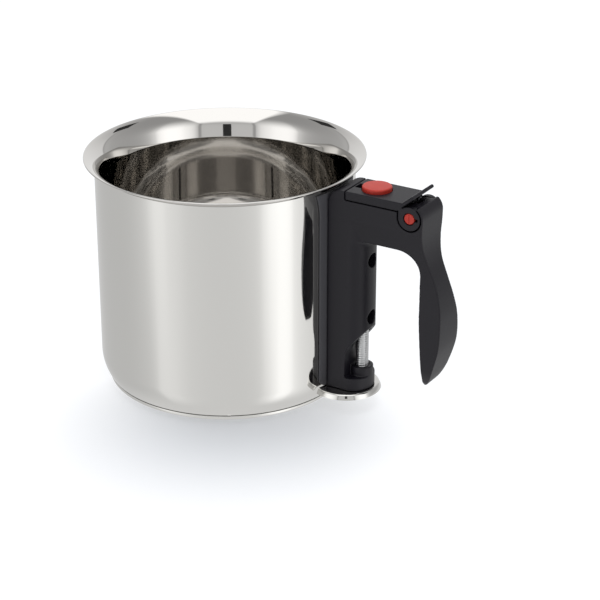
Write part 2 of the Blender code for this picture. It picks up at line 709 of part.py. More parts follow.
def cut_screw_holes(body):
    for height in (LOWER_SCREW_HEIGHT, UPPER_SCREW):
        place = (0.0, 0.0, height)
        end = SCREW_SEAT + OVERCUT
        cut(body, rod("screw_hole", SCREW_RADIUS + CLEAR, WEB_BACK, end, SMALL_STEPS, place, "X"))
        cut(body, rod("screw_access", ACCESS_RADIUS, SCREW_SEAT, NOSE_FRONT + OVERCUT, SMALL_STEPS, place, "X"))


def cut_filler_room(body):
    """Bore for the neck from above, and for the nozzle and its gasket from behind."""
    place = (BUTTON_AXIS, 0.0, 0.0)
    bottom = NECK_TOP - NECK_DEPTH - CLEAR
    flange = NECK_TOP - NECK_FLANGE_THICK - CLEAR
    neck = rod("neck_bore", NECK_BORE + NECK_WALL + CLEAR, bottom, FLAP_TOP, PIECE_STEPS, place)
    seat = rod("neck_seat", NECK_FLANGE + CLEAR, flange, FLAP_TOP + OVERCUT, PIECE_STEPS, place)
    axis = (0.0, 0.0, NOZZLE_HEIGHT)
    nozzle = rod("nozzle_bore", NOZZLE_RADIUS + CLEAR, POT_RADIUS, BUTTON_AXIS, PIECE_STEPS, axis, "X")
    start = GASKET_START - CLEAR
    gasket = rod("gasket_bore", GASKET_RADIUS + CLEAR, start, BUTTON_AXIS, PIECE_STEPS, axis, "X")
    cut(body, seat, neck, nozzle, gasket)


def cut_hinge_room(body):
    """Recesses for the ears, hole for the pin and pocket for the spring."""
    place = tuple(HINGE)
    for side in (-1, 1):
        low, high = sorted((side * LUG_HALF, side * (HANDLE_HALF + OVERCUT)))
        cut(body, rod("ear_recess", EAR_RADIUS + RUN, low, high, PIECE_STEPS, place, "Y"))
        left = HINGE.x - EAR_RADIUS - RUN + COLUMN_INSET
        cut(body, block("ear_neck_recess", (left, low, HINGE.z), (HINGE.x, high, FLAP_SEAT + OVERCUT)))
    cut(body, rod("pin_hole", PIN_RADIUS + CLEAR, -HANDLE_HALF, HANDLE_HALF, SMALL_STEPS, place, "Y"))
    room = LID_COIL_RADIUS + LID_WIRE / 2 + CLEAR
    low = (HINGE.x - room, -POCKET_HALF, HINGE.z - room)
    high = (HINGE.x + room, POCKET_HALF, SHOULDER_TOP + OVERCUT)
    cut(body, block("spring_pocket", low, high))


def cut_stud_room(body):
    place = (STUD_AXIS, 0.0, 0.0)
    hole = rod("stud_hole", STUD_RADIUS + CLEAR, 0.0, INSERT_TOP, PIECE_STEPS, place)
    low = BOSS_TOP + OVERCUT
    pocket = rod("insert_pocket", INSERT_RADIUS + CLEAR, low, INSERT_TOP + CLEAR, PIECE_STEPS, place)
    cut(body, hole, pocket)


def flame_guard(finish):
    """Pressed disc under the foot with a slanting rim, cut away where the pot's wall passes."""
    lean = math.radians(GUARD_LEAN)
    slant = (GUARD_SKIRT - GUARD_BEND * (1 - math.sin(lean))) / math.cos(lean)
    out = slant * math.sin(lean)
    down = slant * math.cos(lean)
    bend = (GUARD_RADIUS - out - GUARD_BEND * math.cos(lean), GUARD_TOP - GUARD_BEND)
    profile = [(0.0, GUARD_TOP)]
    profile += arc(bend, GUARD_BEND, 90.0, GUARD_LEAN, BEND_STEPS)
    under = arc(bend, GUARD_BEND - GUARD_SHEET, GUARD_LEAN, 90.0, BEND_STEPS)
    for radius, height in (profile[-1], under[0]):
        profile.append((radius + out, height - down))
    profile += under
    profile += [(0.0, GUARD_TOP - GUARD_SHEET)]
    guard = turned("flame_guard", profile, PIECE_STEPS, (GUARD_AXIS, 0.0, 0.0))
    hole = rod("guard_hole", STUD_RADIUS + CLEAR, 0.0, GUARD_TOP + OVERCUT, SMALL_STEPS, (STUD_AXIS, 0.0, 0.0))
    return keep(cut(guard, wall_cutter("guard_wall", WALL), hole), finish)


def clamp_stud(finish):
    place = (STUD_AXIS, 0.0, 0.0)
    return keep(rod("clamp_stud", STUD_RADIUS, STUD_END, INSERT_TOP - CLEAR, PIECE_STEPS, place), finish)


def ring(name, inside, outside, low, high, steps, place, axis="Z"):
    profile = [(outside, high), (outside, low), (inside, low), (inside, high)]
    return turned(name, profile, steps, place, axis)


def stud_insert(finish):
    place = (STUD_AXIS, 0.0, 0.0)
    low = INSERT_TOP - INSERT_LENGTH
    high = INSERT_TOP - CLEAR
    return keep(ring("stud_insert", STUD_RADIUS + CLEAR, INSERT_RADIUS, low, high, SMALL_STEPS, place), finish)


def guard_washer(finish):
    place = (STUD_AXIS, 0.0, 0.0)
    top = GUARD_TOP - GUARD_SHEET - CLEAR
    low = top - WASHER_THICK
    return keep(ring("guard_washer", STUD_RADIUS + CLEAR, WASHER_RADIUS, low, top, SMALL_STEPS, place), finish)


def guard_nut(finish):
    place = (STUD_AXIS, 0.0, 0.0)
    top = GUARD_TOP - GUARD_SHEET - WASHER_THICK - 2 * CLEAR
    nut = rod("guard_nut", NUT_RADIUS, top - NUT_THICK, top, HEX_SIDES, place)
    return keep(cut(nut, rod("nut_hole", STUD_RADIUS + CLEAR, 0.0, GUARD_TOP, SMALL_STEPS, place)), finish)


def filler_nozzle(finish):
    """Tube with a flange inside the wall, which leads water from the neck into the jacket."""
    flange_end = math.sqrt(SHELL_INSIDE ** 2 - NOZZLE_FLANGE ** 2) - CLEAR
    flange_start = flange_end - NOZZLE_FLANGE_THICK
    end = BUTTON_AXIS - NECK_BORE
    profile = [(NOZZLE_RADIUS, end), (NOZZLE_RADIUS, flange_end), (NOZZLE_FLANGE, flange_end)]
    profile += [(NOZZLE_FLANGE, flange_start), (NOZZLE_RADIUS - NOZZLE_WALL, flange_start)]
    profile += [(NOZZLE_RADIUS - NOZZLE_WALL, end)]
    return keep(turned("filler_nozzle", profile, SMALL_STEPS, (0.0, 0.0, NOZZLE_HEIGHT), "X"), finish)


def nozzle_gasket(finish):
    axis = (0.0, 0.0, NOZZLE_HEIGHT)
    inside = NOZZLE_RADIUS + CLEAR
    gasket = ring("nozzle_gasket", inside, GASKET_RADIUS, GASKET_START, GASKET_END, SMALL_STEPS, axis, "X")
    return keep(gasket, finish)


def filler_neck(finish):
    """Cup with a flange, and a port in its side for the nozzle."""
    outside = NECK_BORE + NECK_WALL
    bottom = NECK_TOP - NECK_DEPTH
    under_flange = NECK_TOP - NECK_FLANGE_THICK
    profile = [(0.0, bottom + NECK_WALL), (NECK_BORE, bottom + NECK_WALL), (NECK_BORE, NECK_TOP)]
    profile += [(NECK_FLANGE, NECK_TOP), (NECK_FLANGE, under_flange), (outside, under_flange)]
    profile += [(outside, bottom), (0.0, bottom)]
    neck = turned("filler_neck", profile, PIECE_STEPS, (BUTTON_AXIS, 0.0, 0.0))
    axis = (0.0, 0.0, NOZZLE_HEIGHT)
    port = rod("neck_port", NOZZLE_RADIUS + CLEAR, POT_RADIUS, BUTTON_AXIS, SMALL_STEPS, axis, "X")
    return keep(cut(neck, port), finish)


def neck_seal(finish):
    top = FLAP_BOTTOM - CLEAR
    return keep(ring("neck_seal", NECK_BORE + CLEAR, NECK_FLANGE, top - SEAL_THICK, top, PIECE_STEPS,
                     (BUTTON_AXIS, 0.0, 0.0)), finish)


def flap_outline():
    """Side view of the flap's plate and its thumb tab, which rises past the hinge."""
    slope = math.radians(TAB_ANGLE)
    along = Vector((math.cos(slope), math.sin(slope)))
    away = Vector((-math.sin(slope), math.cos(slope)))
    hinge = Vector((HINGE.x, HINGE.z))
    under = hinge + away * (LUG_RADIUS + TAB_GAP)
    over = under + away * TAB_THICK
    root_under = under + along * ((FLAP_BOTTOM - under.y) / along.y)
    root_over = over + along * ((FLAP_TOP - over.y) / along.y)
    tip_under = under + along * TAB_LENGTH
    tip_over = over + along * TAB_LENGTH
    plate = [(FLAP_END, FLAP_TOP), (FLAP_END, FLAP_BOTTOM)]
    return plate + [tuple(root_under), tuple(tip_under), tuple(tip_over), tuple(root_over)]


def lid_flap(finish):
    flap = rounded(slab("lid_flap", flap_outline(), HANDLE_HALF), FLAP_EDGE)
    place = tuple(HINGE)
    for side in (-1, 1):
        low, high = sorted((side * EAR_INSIDE, side * HANDLE_HALF))
        join(flap, rod("ear", EAR_RADIUS, low, high, PIECE_STEPS, place, "Y"))
        near, far = sorted((side * (EAR_INSIDE + COLUMN_INSET), side * (HANDLE_HALF - COLUMN_INSET)))
        left = HINGE.x - EAR_RADIUS + COLUMN_INSET
        join(flap, block("ear_neck", (left, near, HINGE.z), (HINGE.x, far, HINGE.z + EAR_RISE)))
    axis = (BUTTON_AXIS, 0.0, 0.0)
    well = rod("button_well", BUTTON_RADIUS + CLEAR, WELL_BOTTOM, FLAP_TOP + OVERCUT, PIECE_STEPS, axis)
    outlet_end = BUTTON_AXIS - BUTTON_RADIUS
    outlet = block("steam_outlet", (outlet_end - OUTLET_LENGTH, -OUTLET_HALF, WELL_BOTTOM),
                   (outlet_end + OVERCUT, OUTLET_HALF, FLAP_TOP + OVERCUT))
    stem = rod("stem_hole", STEM_RADIUS + CLEAR, FLAP_BOTTOM - OVERCUT, FLAP_TOP, SMALL_STEPS, axis)
    plate = rod("plate_recess", PLATE_RADIUS + CLEAR, FLAP_BOTTOM - OVERCUT, FLAP_BOTTOM + PLATE_THICK + CLEAR,
                PIECE_STEPS, axis)
    cut(flap, well, outlet, stem, plate)
    cut(flap, *sound_holes("flap_sound_hole", FLAP_BOTTOM, FLAP_TOP))
    through = HANDLE_HALF + OVERCUT
    cut(flap, rod("ear_hole", PIN_RADIUS + CLEAR, -through, through, SMALL_STEPS, place, "Y"))
    tail_low = (HINGE.x, -through, HINGE.z - KEY_WIDTH / 2)
    tail_high = (HINGE.x + KEY_REACH, through, HINGE.z + KEY_WIDTH / 2)
    cut(flap, block("keyhole_tail", tail_low, tail_high))
    return keep(flap, finish)


def sound_holes(name, low, high):
    holes = []
    for index in range(SOUND_HOLES):
        angle = 2 * math.pi * (index + 0.5) / SOUND_HOLES
        place = (BUTTON_AXIS + SOUND_CIRCLE * math.cos(angle), SOUND_CIRCLE * math.sin(angle), 0.0)
        holes.append(rod(name, SOUND_HOLE_RADIUS, low - OVERCUT, high + OVERCUT, HOLE_STEPS, place))
    return holes


def whistle_plate(finish):
    axis = (BUTTON_AXIS, 0.0, 0.0)
    top = PLATE_BOTTOM + PLATE_THICK
    plate = ring("whistle_plate", STEM_RADIUS + CLEAR, PLATE_RADIUS, PLATE_BOTTOM, top, SMALL_STEPS, axis)
    return keep(cut(plate, *sound_holes("plate_sound_hole", PLATE_BOTTOM, top)), finish)


def vent_button(finish):
    """Hollow cap on a stem, with a groove for its clip."""
    top = FLAP_TOP + BUTTON_PROUD
    skirt = WELL_BOTTOM + BUTTON_TRAVEL + CLEAR
    roof = top - BUTTON_TOP_THICK
    inside = BUTTON_RADIUS - BUTTON_WALL
    groove_top = CLIP_TOP + CLEAR
    groove_low = CLIP_TOP - CLIP_THICK - CLEAR
    profile = [(0.0, top), (BUTTON_RADIUS - BUTTON_CHAMFER, top), (BUTTON_RADIUS, top - BUTTON_CHAMFER)]
    profile += [(BUTTON_RADIUS, skirt), (inside, skirt), (inside, roof), (STEM_RADIUS, roof)]
    profile += [(STEM_RADIUS, groove_top), (STEM_RADIUS - CLIP_GROOVE, groove_top)]
    profile += [(STEM_RADIUS - CLIP_GROOVE, groove_low), (STEM_RADIUS, groove_low)]
    profile += [(STEM_RADIUS, groove_low - STEM_TAIL), (0.0, groove_low - STEM_TAIL)]
    return keep(shaded(turned("vent_button", profile, PIECE_STEPS, (BUTTON_AXIS, 0.0, 0.0))), finish)


def button_clip(finish):
    """Open ring in the groove of the stem."""
    axis = (BUTTON_AXIS, 0.0, 0.0)
    inside = STEM_RADIUS - CLIP_GROOVE + CLEAR
    clip = ring("button_clip", inside, CLIP_RADIUS, CLIP_TOP - CLIP_THICK, CLIP_TOP, SMALL_STEPS, axis)
    gap = block("clip_gap", (BUTTON_AXIS, -inside / 2, CLIP_TOP - OVERCUT),
                (BUTTON_AXIS + CLIP_RADIUS + OVERCUT, inside / 2, CLIP_TOP + OVERCUT))
    return keep(cut(clip, gap), finish)


def hinge_pin(finish):
    half = HANDLE_HALF - PIN_SET_BACK
    pin = rod("hinge_pin", PIN_RADIUS, -half, half, SMALL_STEPS, tuple(HINGE), "Y")
    slot_low = (HINGE.x - PIN_SLOT / 2, -half - OVERCUT, HINGE.z - PIN_RADIUS - OVERCUT)
    slot_high = (HINGE.x + PIN_SLOT / 2, PIN_SLOT - half, HINGE.z + PIN_RADIUS + OVERCUT)
    return keep(cut(pin, block("pin_slot", slot_low, slot_high)), finish)


def coil(radius, start, turns, pitch):
    """Points of a helix about its own Z axis, centred on the origin."""
    count = round(turns * COIL_POINTS)
    points = []
    for index in range(count + 1):
        share = index / count
        angle = start + 2 * math.pi * turns * share
        height = pitch * turns * (share - 0.5)
        points.append(Vector((radius * math.cos(angle), radius * math.sin(angle), height)))
    return points


def print_self_gap(name, points, thickness):
    """Least gap between turns of a wire that are at least half a turn apart."""
    apart = COIL_POINTS // 2 + 1
    least = min((a - b).length for i, a in enumerate(points) for b in points[i + apart:])
    print(f"{name}: least gap to itself {(least - thickness) / MM:.2f} mm")


def lid_spring(finish):
    """Torsion spring round the pin: one leg lifts the thumb tab, the other bears on the floor of its pocket."""
    slope = math.radians(TAB_ANGLE + LID_LEG_LEAN)
    lean = math.radians(LID_LEG_LEAN)
    start = slope + math.pi / 2
    turns = LID_COIL_TURNS + (3 * math.pi / 2 - start) / (2 * math.pi)
    winding = [Vector((p.x, p.z, p.y)) for p in coil(LID_COIL_RADIUS, start, turns, LID_COIL_PITCH)]
    under_tab = LUG_RADIUS + TAB_GAP - CLEAR - LID_WIRE / 2
    length = (under_tab - LID_COIL_RADIUS * math.cos(lean)) / math.sin(lean)
    upper_end = winding[0] + Vector((math.cos(slope), 0.0, math.sin(slope))) * length
    lower_end = Vector((LID_LEG, winding[-1].y, winding[-1].z))
    points = [upper_end] + winding + [lower_end]
    print_self_gap("lid_spring", points, LID_WIRE)
    return keep(wire("lid_spring", [tuple(HINGE + point) for point in points], LID_WIRE), finish)


def button_spring(finish):
    """Compression spring round the stem, between the floor of the well and the cap."""
    roof = FLAP_TOP + BUTTON_PROUD - BUTTON_TOP_THICK
    free = roof - WELL_BOTTOM - 2 * CLEAR - BUTTON_WIRE
    points = coil(BUTTON_COIL_RADIUS, 0.0, BUTTON_COIL_TURNS, free / BUTTON_COIL_TURNS)
    print_self_gap("button_spring", points, BUTTON_WIRE)
    middle = Vector((BUTTON_AXIS, 0.0, (roof + WELL_BOTTOM) / 2))
    return keep(wire("button_spring", [tuple(middle + point) for point in points], BUTTON_WIRE), finish)


def build():
    clear_scene()
    steel = material("polished_steel", (0.72, 0.72, 0.71), 0.12, 1.0)
    bright = material("zinc_plated_steel", (0.62, 0.63, 0.64), 0.35, 1.0)
    spring_steel = material("spring_steel", (0.45, 0.46, 0.48), 0.3, 1.0)
    aluminium = material("aluminium", (0.78, 0.78, 0.78), 0.4, 1.0)
    brass = material("brass", (0.72, 0.53, 0.22), 0.35, 1.0)
    black = material("black_moulding", (0.021, 0.021, 0.024), 0.42, 0.0)
    red = material("red_moulding", (0.52, 0.03, 0.02), 0.38, 0.0)
    silicone = material("grey_silicone", (0.33, 0.33, 0.34), 0.6, 0.0)
    for piece in (outer_shell, inner_bowl, base_cap, flame_guard, filler_nozzle, filler_neck, whistle_plate):
        shaded(piece(steel))
    for piece in (handle_bracket, clamp_stud, guard_washer, guard_nut):
        shaded(piece(bright))
    handle_screw("upper_handle_screw", UPPER_SCREW, bright)
    handle_screw("lower_handle_screw", LOWER_SCREW_HEIGHT, bright)
    for piece in (lid_spring, button_spring, button_clip):
        shaded(piece(spring_steel))
    for piece in (handle_spacer, handle_body, lid_flap):
        shaded(piece(black))
    for piece in (hinge_pin, vent_button):
        shaded(piece(red))
    for piece in (nozzle_gasket, neck_seal):
        shaded(piece(silicone))
    shaded(base_core(aluminium))
    shaded(stud_insert(brass))


build()
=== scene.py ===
import json
import math

import bmesh
import bpy
from mathutils import Matrix, Vector


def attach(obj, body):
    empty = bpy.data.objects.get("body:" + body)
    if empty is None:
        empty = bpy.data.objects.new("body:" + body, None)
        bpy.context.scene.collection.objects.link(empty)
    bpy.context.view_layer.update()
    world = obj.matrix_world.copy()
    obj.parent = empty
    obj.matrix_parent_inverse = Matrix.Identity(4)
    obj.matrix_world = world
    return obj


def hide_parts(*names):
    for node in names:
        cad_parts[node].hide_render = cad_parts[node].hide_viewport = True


# Looks of the double-walled melting pot: fine pieces, finishes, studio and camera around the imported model.
# Metres, +Z up, the pot's axis at the origin and the handle along +X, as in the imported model.
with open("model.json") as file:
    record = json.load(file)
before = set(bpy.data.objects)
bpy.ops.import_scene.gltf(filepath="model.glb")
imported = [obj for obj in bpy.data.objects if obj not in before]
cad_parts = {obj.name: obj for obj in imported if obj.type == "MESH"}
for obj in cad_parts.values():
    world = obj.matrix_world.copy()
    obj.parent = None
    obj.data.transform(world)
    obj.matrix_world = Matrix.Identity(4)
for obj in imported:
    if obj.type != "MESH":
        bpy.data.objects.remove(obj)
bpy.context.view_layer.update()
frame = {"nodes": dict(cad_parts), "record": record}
MM = 0.001

# Camera, fitted to the photograph
CAMERA_TURN = math.radians(31.6)
CAMERA_PITCH = math.radians(24.17)
CAMERA_DISTANCE = 1216 * MM
CAMERA_ASIDE = 45.76 * MM       # point looked at, to the right of the pot's axis
CAMERA_UP = 46.0 * MM           # and above the floor
SENSOR = 36.0
LENS = 115.5
MIRROR_BOUNCES = 9              # the bowl is seen through several reflections in itself

# Pot
POT_STEPS = 192
POT_RADIUS = 80.0 * MM
POT_HEIGHT = 144.9 * MM
SHEET = 0.9 * MM
LIP_GAP = 0.03 * MM             # shell to the underside of the lip, which it is welded to
SHELL_FLOOR = 7.1 * MM
BOWL_INSIDE = 74.0 * MM
BOWL_FLOOR = 30.0 * MM
BOWL_CORNER = 10.0 * MM
LIP_START = 128.57 * MM
LIP_BEND = 3.0 * MM             # small bend where the lip leaves the wall
LIP_LEAN = 15.0                 # degrees that it leans there
LIP_CONE = 75.0 * MM            # nearly straight part of the flare
LIP_CONE_LEAN = 20.5
LIP_CURVE = 13.9 * MM           # curve over to the rim
LIP_END = 75.9
TURN_RADIUS = 27.8 * MM
TURN_ANGLE = 32.0
TURN_START = 18.13 * MM
SEAM_RADIUS = 75.78 * MM
SEAM_HEIGHT = 3.4 * MM
RECESS_RADIUS = 73.78 * MM
NOZZLE_HEIGHT = 124.0 * MM
NOZZLE_RADIUS = 5.0 * MM
CAP_ROUND = 1.2 * MM
CAP_SET_BACK = 0.5 * MM
SEAM_GROOVE = 0.9 * MM          # dark joint between shell and cap
CLEAR = 0.3 * MM
RUN = 0.4 * MM
PAST = 5.0 * MM                 # how far a cutter runs past the face it cuts
WALL = POT_RADIUS + CLEAR
INSIDE_POT = 70.0 * MM          # where cutters that pass through the wall's side start
OVER_POT = 160.0 * MM           # and where those that pass its top end
NOZZLE_ROOM_END = 90.0 * MM

# Handle
HANDLE_HALF = 13.0 * MM
SADDLE_RADIUS = 81.6 * MM
COLUMN_BACK = 80.56 * MM
NOSE_START = 94.2 * MM
NOSE_DEPTH = 10.8 * MM
NOSE_FRONT = NOSE_START + NOSE_DEPTH
COLUMN_EDGE = 1.0 * MM
COLUMN_INSET = 0.05 * MM
GAP_WIDTH = 0.3 * MM
GAP_DEPTH = 3.0 * MM
FOOT_BOTTOM = 12.7 * MM
BEAM_BOTTOM = 111.5 * MM
BEAM_EDGE = 1.6 * MM
HEAD_END = 91.9 * MM
HEAD_ROUND = 9.5 * MM
GRIP_FILLET = 14.5 * MM
NOSE_BLEND = 5.0 * MM           # hollow curve from the nose into the underside of the beam
GRIP_OUTER = [(8.6, -15.3), (11.0, -27.3), (16.2, -40.3), (19.6, -51.3), (21.4, -62.8),
              (21.0, -79.3), (16.8, -94.8), (13.4, -103.0)]
GRIP_TIP = (10.2, -106.8)
GRIP_INNER = [(8.9, -105.0), (9.3, -97.3), (8.5, -79.3), (6.9, -60.3), (5.8, -44.3)]
GRIP_WIDTHS = [(-9.0, 1.0), (-18.0, 0.87), (-27.0, 0.71), (-40.0, 0.65), (-52.0, 0.74), (-64.0, 0.88),
               (-80.0, 0.94), (-95.0, 0.86), (-103.0, 0.64), (-108.0, 0.36)]
GRIP_BANDS = 60
HANDLE_GRAIN = 0.4 * MM         # facets of the moulded pieces before smoothing
FACES_KEPT = 0.3                # share of them left after it
WINDOW_FLOOR = 20.7 * MM
WINDOW_DEPTH = 12.0 * MM
WINDOW_BACK_TOP = 38.6 * MM
WINDOW_TOP = 53.2 * MM
WINDOW_ROUND = 14.0 * MM
BOSS_RADIUS = 6.9 * MM
BOSS_TOP = 26.6 * MM
ACCESS_RADIUS = 4.6 * MM
SCREW_HEIGHTS = (59.6 * MM, 96.6 * MM)
SCREW_RADIUS = 2.5 * MM
SCREW_SEAT = 91.9 * MM
SCREW_START = 82.1 * MM
SCREW_HEAD_RADIUS = 4.0 * MM
SCREW_HEAD_THICK = 2.6 * MM
SCREW_SOCKET = 1.6 * MM
SCREW_EDGE = 0.3 * MM
WEB_BACK = 84.6 * MM
BRACKET_FRONT = 86.9 * MM
BRACKET_HALF = 8.3 * MM
BRACKET_LOW = 50.3 * MM
BRACKET_HIGH = 105.9 * MM

# Spacer between wall and handle
SPACER_OUTSIDE = WALL + 1.0 * MM
SPACER_HALF = 18.0 * MM
SPACER_FLARE = 2.7 * MM
SPACER_FLARE_RISE = 15.0 * MM
SPACER_FOOT = 13.0 * MM
SPACER_TOP = 138.4 * MM
SPACER_ROUND = 5.0 * MM
SPACER_EDGE = 0.2 * MM

# Flap, hinge and button
HINGE = Vector((135.0, 0.0, 133.3)) * MM
FLAP_TOP = 142.1 * MM
FLAP_BOTTOM = 136.7 * MM
FLAP_SEAT = 136.3 * MM
FLAP_END = 92.3 * MM
FLAP_EDGE = 0.8 * MM
FLAP_GRAIN = 0.25 * MM
EAR_RADIUS = 7.6 * MM
EAR_SHY = 0.4 * MM              # ear drawn smaller, so that the joint shows as dark as the real one
EAR_INSIDE = 9.15 * MM
EAR_RISE = 5.5 * MM
SHOULDER_RADIUS = 8.9 * MM
LUG_RADIUS = 6.9 * MM
LUG_HALF = 8.85 * MM
SHOULDER_TOP = HINGE.z + LUG_RADIUS
TAB_ANGLE = math.radians(40.0)
TAB_THICK = 2.2 * MM
TAB_LENGTH = 10.3 * MM
TAB_GAP = 0.9 * MM
PIN_RADIUS = 3.3 * MM
PIN_ROOM = 0.4 * MM
PIN_HALF = 12.6 * MM
PIN_SLOT = 0.5 * MM
PIN_EDGE = 0.5 * MM
KEY_REACH = 5.6 * MM
KEY_WIDTH = 1.8 * MM
BUTTON_AXIS = 106.7 * MM
BUTTON_RADIUS = 8.9 * MM
BUTTON_TOP = 144.5 * MM
BUTTON_ROOF = 143.1 * MM
BUTTON_SKIRT = 140.8 * MM
BUTTON_WALL = 2.0 * MM
BUTTON_EDGE = 1.0 * MM
WELL_BOTTOM = 138.9 * MM
OUTLET_LENGTH = 4.2 * MM
OUTLET_HALF = 3.4 * MM
STEM_RADIUS = 2.0 * MM
STEM_LOW = 134.4 * MM
CLIP_GROOVE = (135.4 * MM, 136.7 * MM, 1.4 * MM)    # low, high, radius
PLATE_RADIUS = 6.3 * MM
PLATE_TOP = 137.6 * MM
SOUND_HOLES = 4
SOUND_HOLE_RADIUS = 0.9 * MM
SOUND_CIRCLE = 4.1 * MM
NECK_BORE = 8.3 * MM
NECK_SEAT = 10.5 * MM
NECK_SEAT_LOW = 133.6 * MM
NECK_LOW = 116.8 * MM
NECK_TOP = 135.1 * MM
NECK_FLANGE = 10.2 * MM
NECK_FLANGE_THICK = 1.2 * MM
NECK_WALL = 1.0 * MM
SEAL_THICK = 1.0 * MM
GASKET_BORE = 6.8 * MM
GASKET_START = 95.7 * MM
POCKET_HALF = 3.6 * MM
POCKET_ROOM = 5.35 * MM

# Flame guard and its stud
STUD_AXIS = 98.2 * MM
STUD_RADIUS = 4.0 * MM
STUD_LOW = 7.2 * MM
STUD_HIGH = 53.5 * MM
THREAD_PITCH = 1.5 * MM         # in truth 1.25, drawn coarser so that it shows
THREAD_DEPTH = 0.35 * MM
INSERT_RADIUS = 5.3 * MM
INSERT_TOP = 54.1 * MM
GUARD_AXIS = 86.9 * MM
GUARD_RADIUS = 21.8 * MM
GUARD_TOP = 12.4 * MM
GUARD_BEND = 1.5 * MM
GUARD_SKIRT = 3.3 * MM
GUARD_LEAN = 24.0
GUARD_EDGE = 0.15 * MM

# Springs
COIL_POINTS = 40
LID_WIRE = 0.9 * MM
LID_COIL_RADIUS = 4.6 * MM
LID_COIL_TURNS = 3
LID_COIL_PITCH = 1.5 * MM
LID_LEG_LEAN = math.radians(15.0)
LID_LEG = 4.9 * MM
BUTTON_WIRE = 0.7 * MM
BUTTON_COIL_RADIUS = 3.2 * MM
BUTTON_COIL_TURNS = 2


def linear(code):
    """Linear colour of an sRGB hex value."""
    shares = [int(code[start:start + 2], 16) / 255 for start in (0, 2, 4)]
    return (*[s / 12.92 if s <= 0.04045 else ((s + 0.055) / 1.055) ** 2.4 for s in shares], 1.0)


def add(tree, kind, inputs=None, **settings):
    """Add a node with its settings; its inputs take values or the outputs of other nodes."""
    node = tree.nodes.new(kind)
    for name, value in settings.items():
        setattr(node, name, value)
    for name, value in (inputs or {}).items():
        if isinstance(value, bpy.types.NodeSocket):
            tree.links.new(value, node.inputs[name])
        else:
            node.inputs[name].default_value = value
    return node


def finish(name, colour, roughness, metallic=0.0):
    """Material with a shader at its plain values; returns it with its tree and shader."""
    made = bpy.data.materials.new(name)
    made.use_nodes = True
    tree = made.node_tree
    shader = tree.nodes["Principled BSDF"]
    shader.inputs["Base Color"].default_value = linear(colour)
    shader.inputs["Roughness"].default_value = roughness
    shader.inputs["Metallic"].default_value = metallic
    return made, tree, shader


def noise(tree, scale, detail, stretch=(1.0, 1.0, 1.0)):
    """Noise that stays with the piece, in patterns per metre, stretched along its axes."""
    place = add(tree, "ShaderNodeTexCoord").outputs["Object"]
    along = add(tree, "ShaderNodeMapping", {"Vector": place, "Scale": stretch}).outputs[0]
    return add(tree, "ShaderNodeTexNoise", {"Vector": along, "Scale": scale, "Detail": detail}).outputs[0]


def roughen(tree, shader, pattern, low, high):
    """Let a pattern vary the roughness."""
    rough = add(tree, "ShaderNodeMapRange", {"Value": pattern, "To Min": low, "To Max": high})
    tree.links.new(rough.outputs[0], shader.inputs["Roughness"])


def emboss(tree, shader, pattern, strength, height):
    """Let a pattern raise the surface."""
    raised = add(tree, "ShaderNodeBump", {"Height": pattern, "Strength": strength, "Distance": height})
    tree.links.new(raised.outputs[0], shader.inputs["Normal"])


def mirror_polished_stainless():
    """Drawn stainless sheet, buffed to a mirror: clear reflections that the sheet bends a little."""
    made, tree, shader = finish("stainless_steel_mirror_polished", "D3D2CF", 0.05, 1.0)
    # Buffing marks run round the pot; the real ones are finer than 0.1 mm and are drawn 0.5 mm high.
    roughen(tree, shader, noise(tree, 1.0, 2.0, (40.0, 40.0, 2000.0)), 0.03, 0.08)
    # Slow waves of the drawn sheet, about 30 mm long.
    emboss(tree, shader, noise(tree, 33.0, 0.0), 1.0, 0.01 * MM)
    return made


def spun_stainless():
    """Stainless bowl, polished while it spins: a clear mirror with fine rings round the axis."""
    made, tree, shader = finish("stainless_steel_spun_polished", "D2D0CD", 0.03, 1.0)
    # Rings of the polishing, in truth about 0.2 mm apart, drawn at about 0.8 mm.
    rings = noise(tree, 1.0, 3.0, (6.0, 6.0, 1250.0))
    roughen(tree, shader, rings, 0.02, 0.05)
    emboss(tree, shader, rings, 0.03, 0.01 * MM)
    return made


def moulded_phenolic(name, colour, smoothest):
    """Black thermoset moulding from a spark-eroded mould: satin or matt, with a fine even grain."""
    made, tree, shader = finish(name, colour, smoothest)
    shader.inputs["IOR"].default_value = 1.58
    # The grained skin swallows part of the sheen.
    shader.inputs["Specular IOR Level"].default_value = 0.23
    # Grain of the mould, in truth about 0.1 mm, drawn at 0.4 mm.
    grain = noise(tree, 2500.0, 2.0)
    roughen(tree, shader, grain, smoothest, smoothest + 0.14)
    emboss(tree, shader, grain, 0.25, 0.04 * MM)
    return made


def moulded_red_nylon():
    """Red nylon moulding: even warm red with a soft sheen and a faint flow cloud."""
    made, tree, shader = finish("nylon_moulded_red", "C4362C", 0.42)
    shader.inputs["IOR"].default_value = 1.53
    shader.inputs["Specular IOR Level"].default_value = 0.35
    # Flow clouds of the pigment, about 5 mm long.
    tints = {"Factor": noise(tree, 200.0, 2.0), "A": linear("B02A1E"), "B": linear("C23626")}
    tint = add(tree, "ShaderNodeMix", tints, data_type="RGBA")
    tree.links.new(tint.outputs["Result"], shader.inputs["Base Color"])
    return made


def plated_steel():
    """Bright zinc plate over turned steel: a silvery sheen, a little uneven."""
    made, tree, shader = finish("steel_turned_zinc_plated", "C9CACB", 0.28, 1.0)
    # Cloudy plate, about 2 mm across.
    roughen(tree, shader, noise(tree, 500.0, 3.0), 0.28, 0.44)
    return made


def drawn_wire():
    """Spring wire as drawn: grey steel, mottled by the die."""
    made, tree, shader = finish("spring_steel_drawn_wire", "9A9C9F", 0.3, 1.0)
    roughen(tree, shader, noise(tree, 1500.0, 2.0), 0.22, 0.42)
    return made


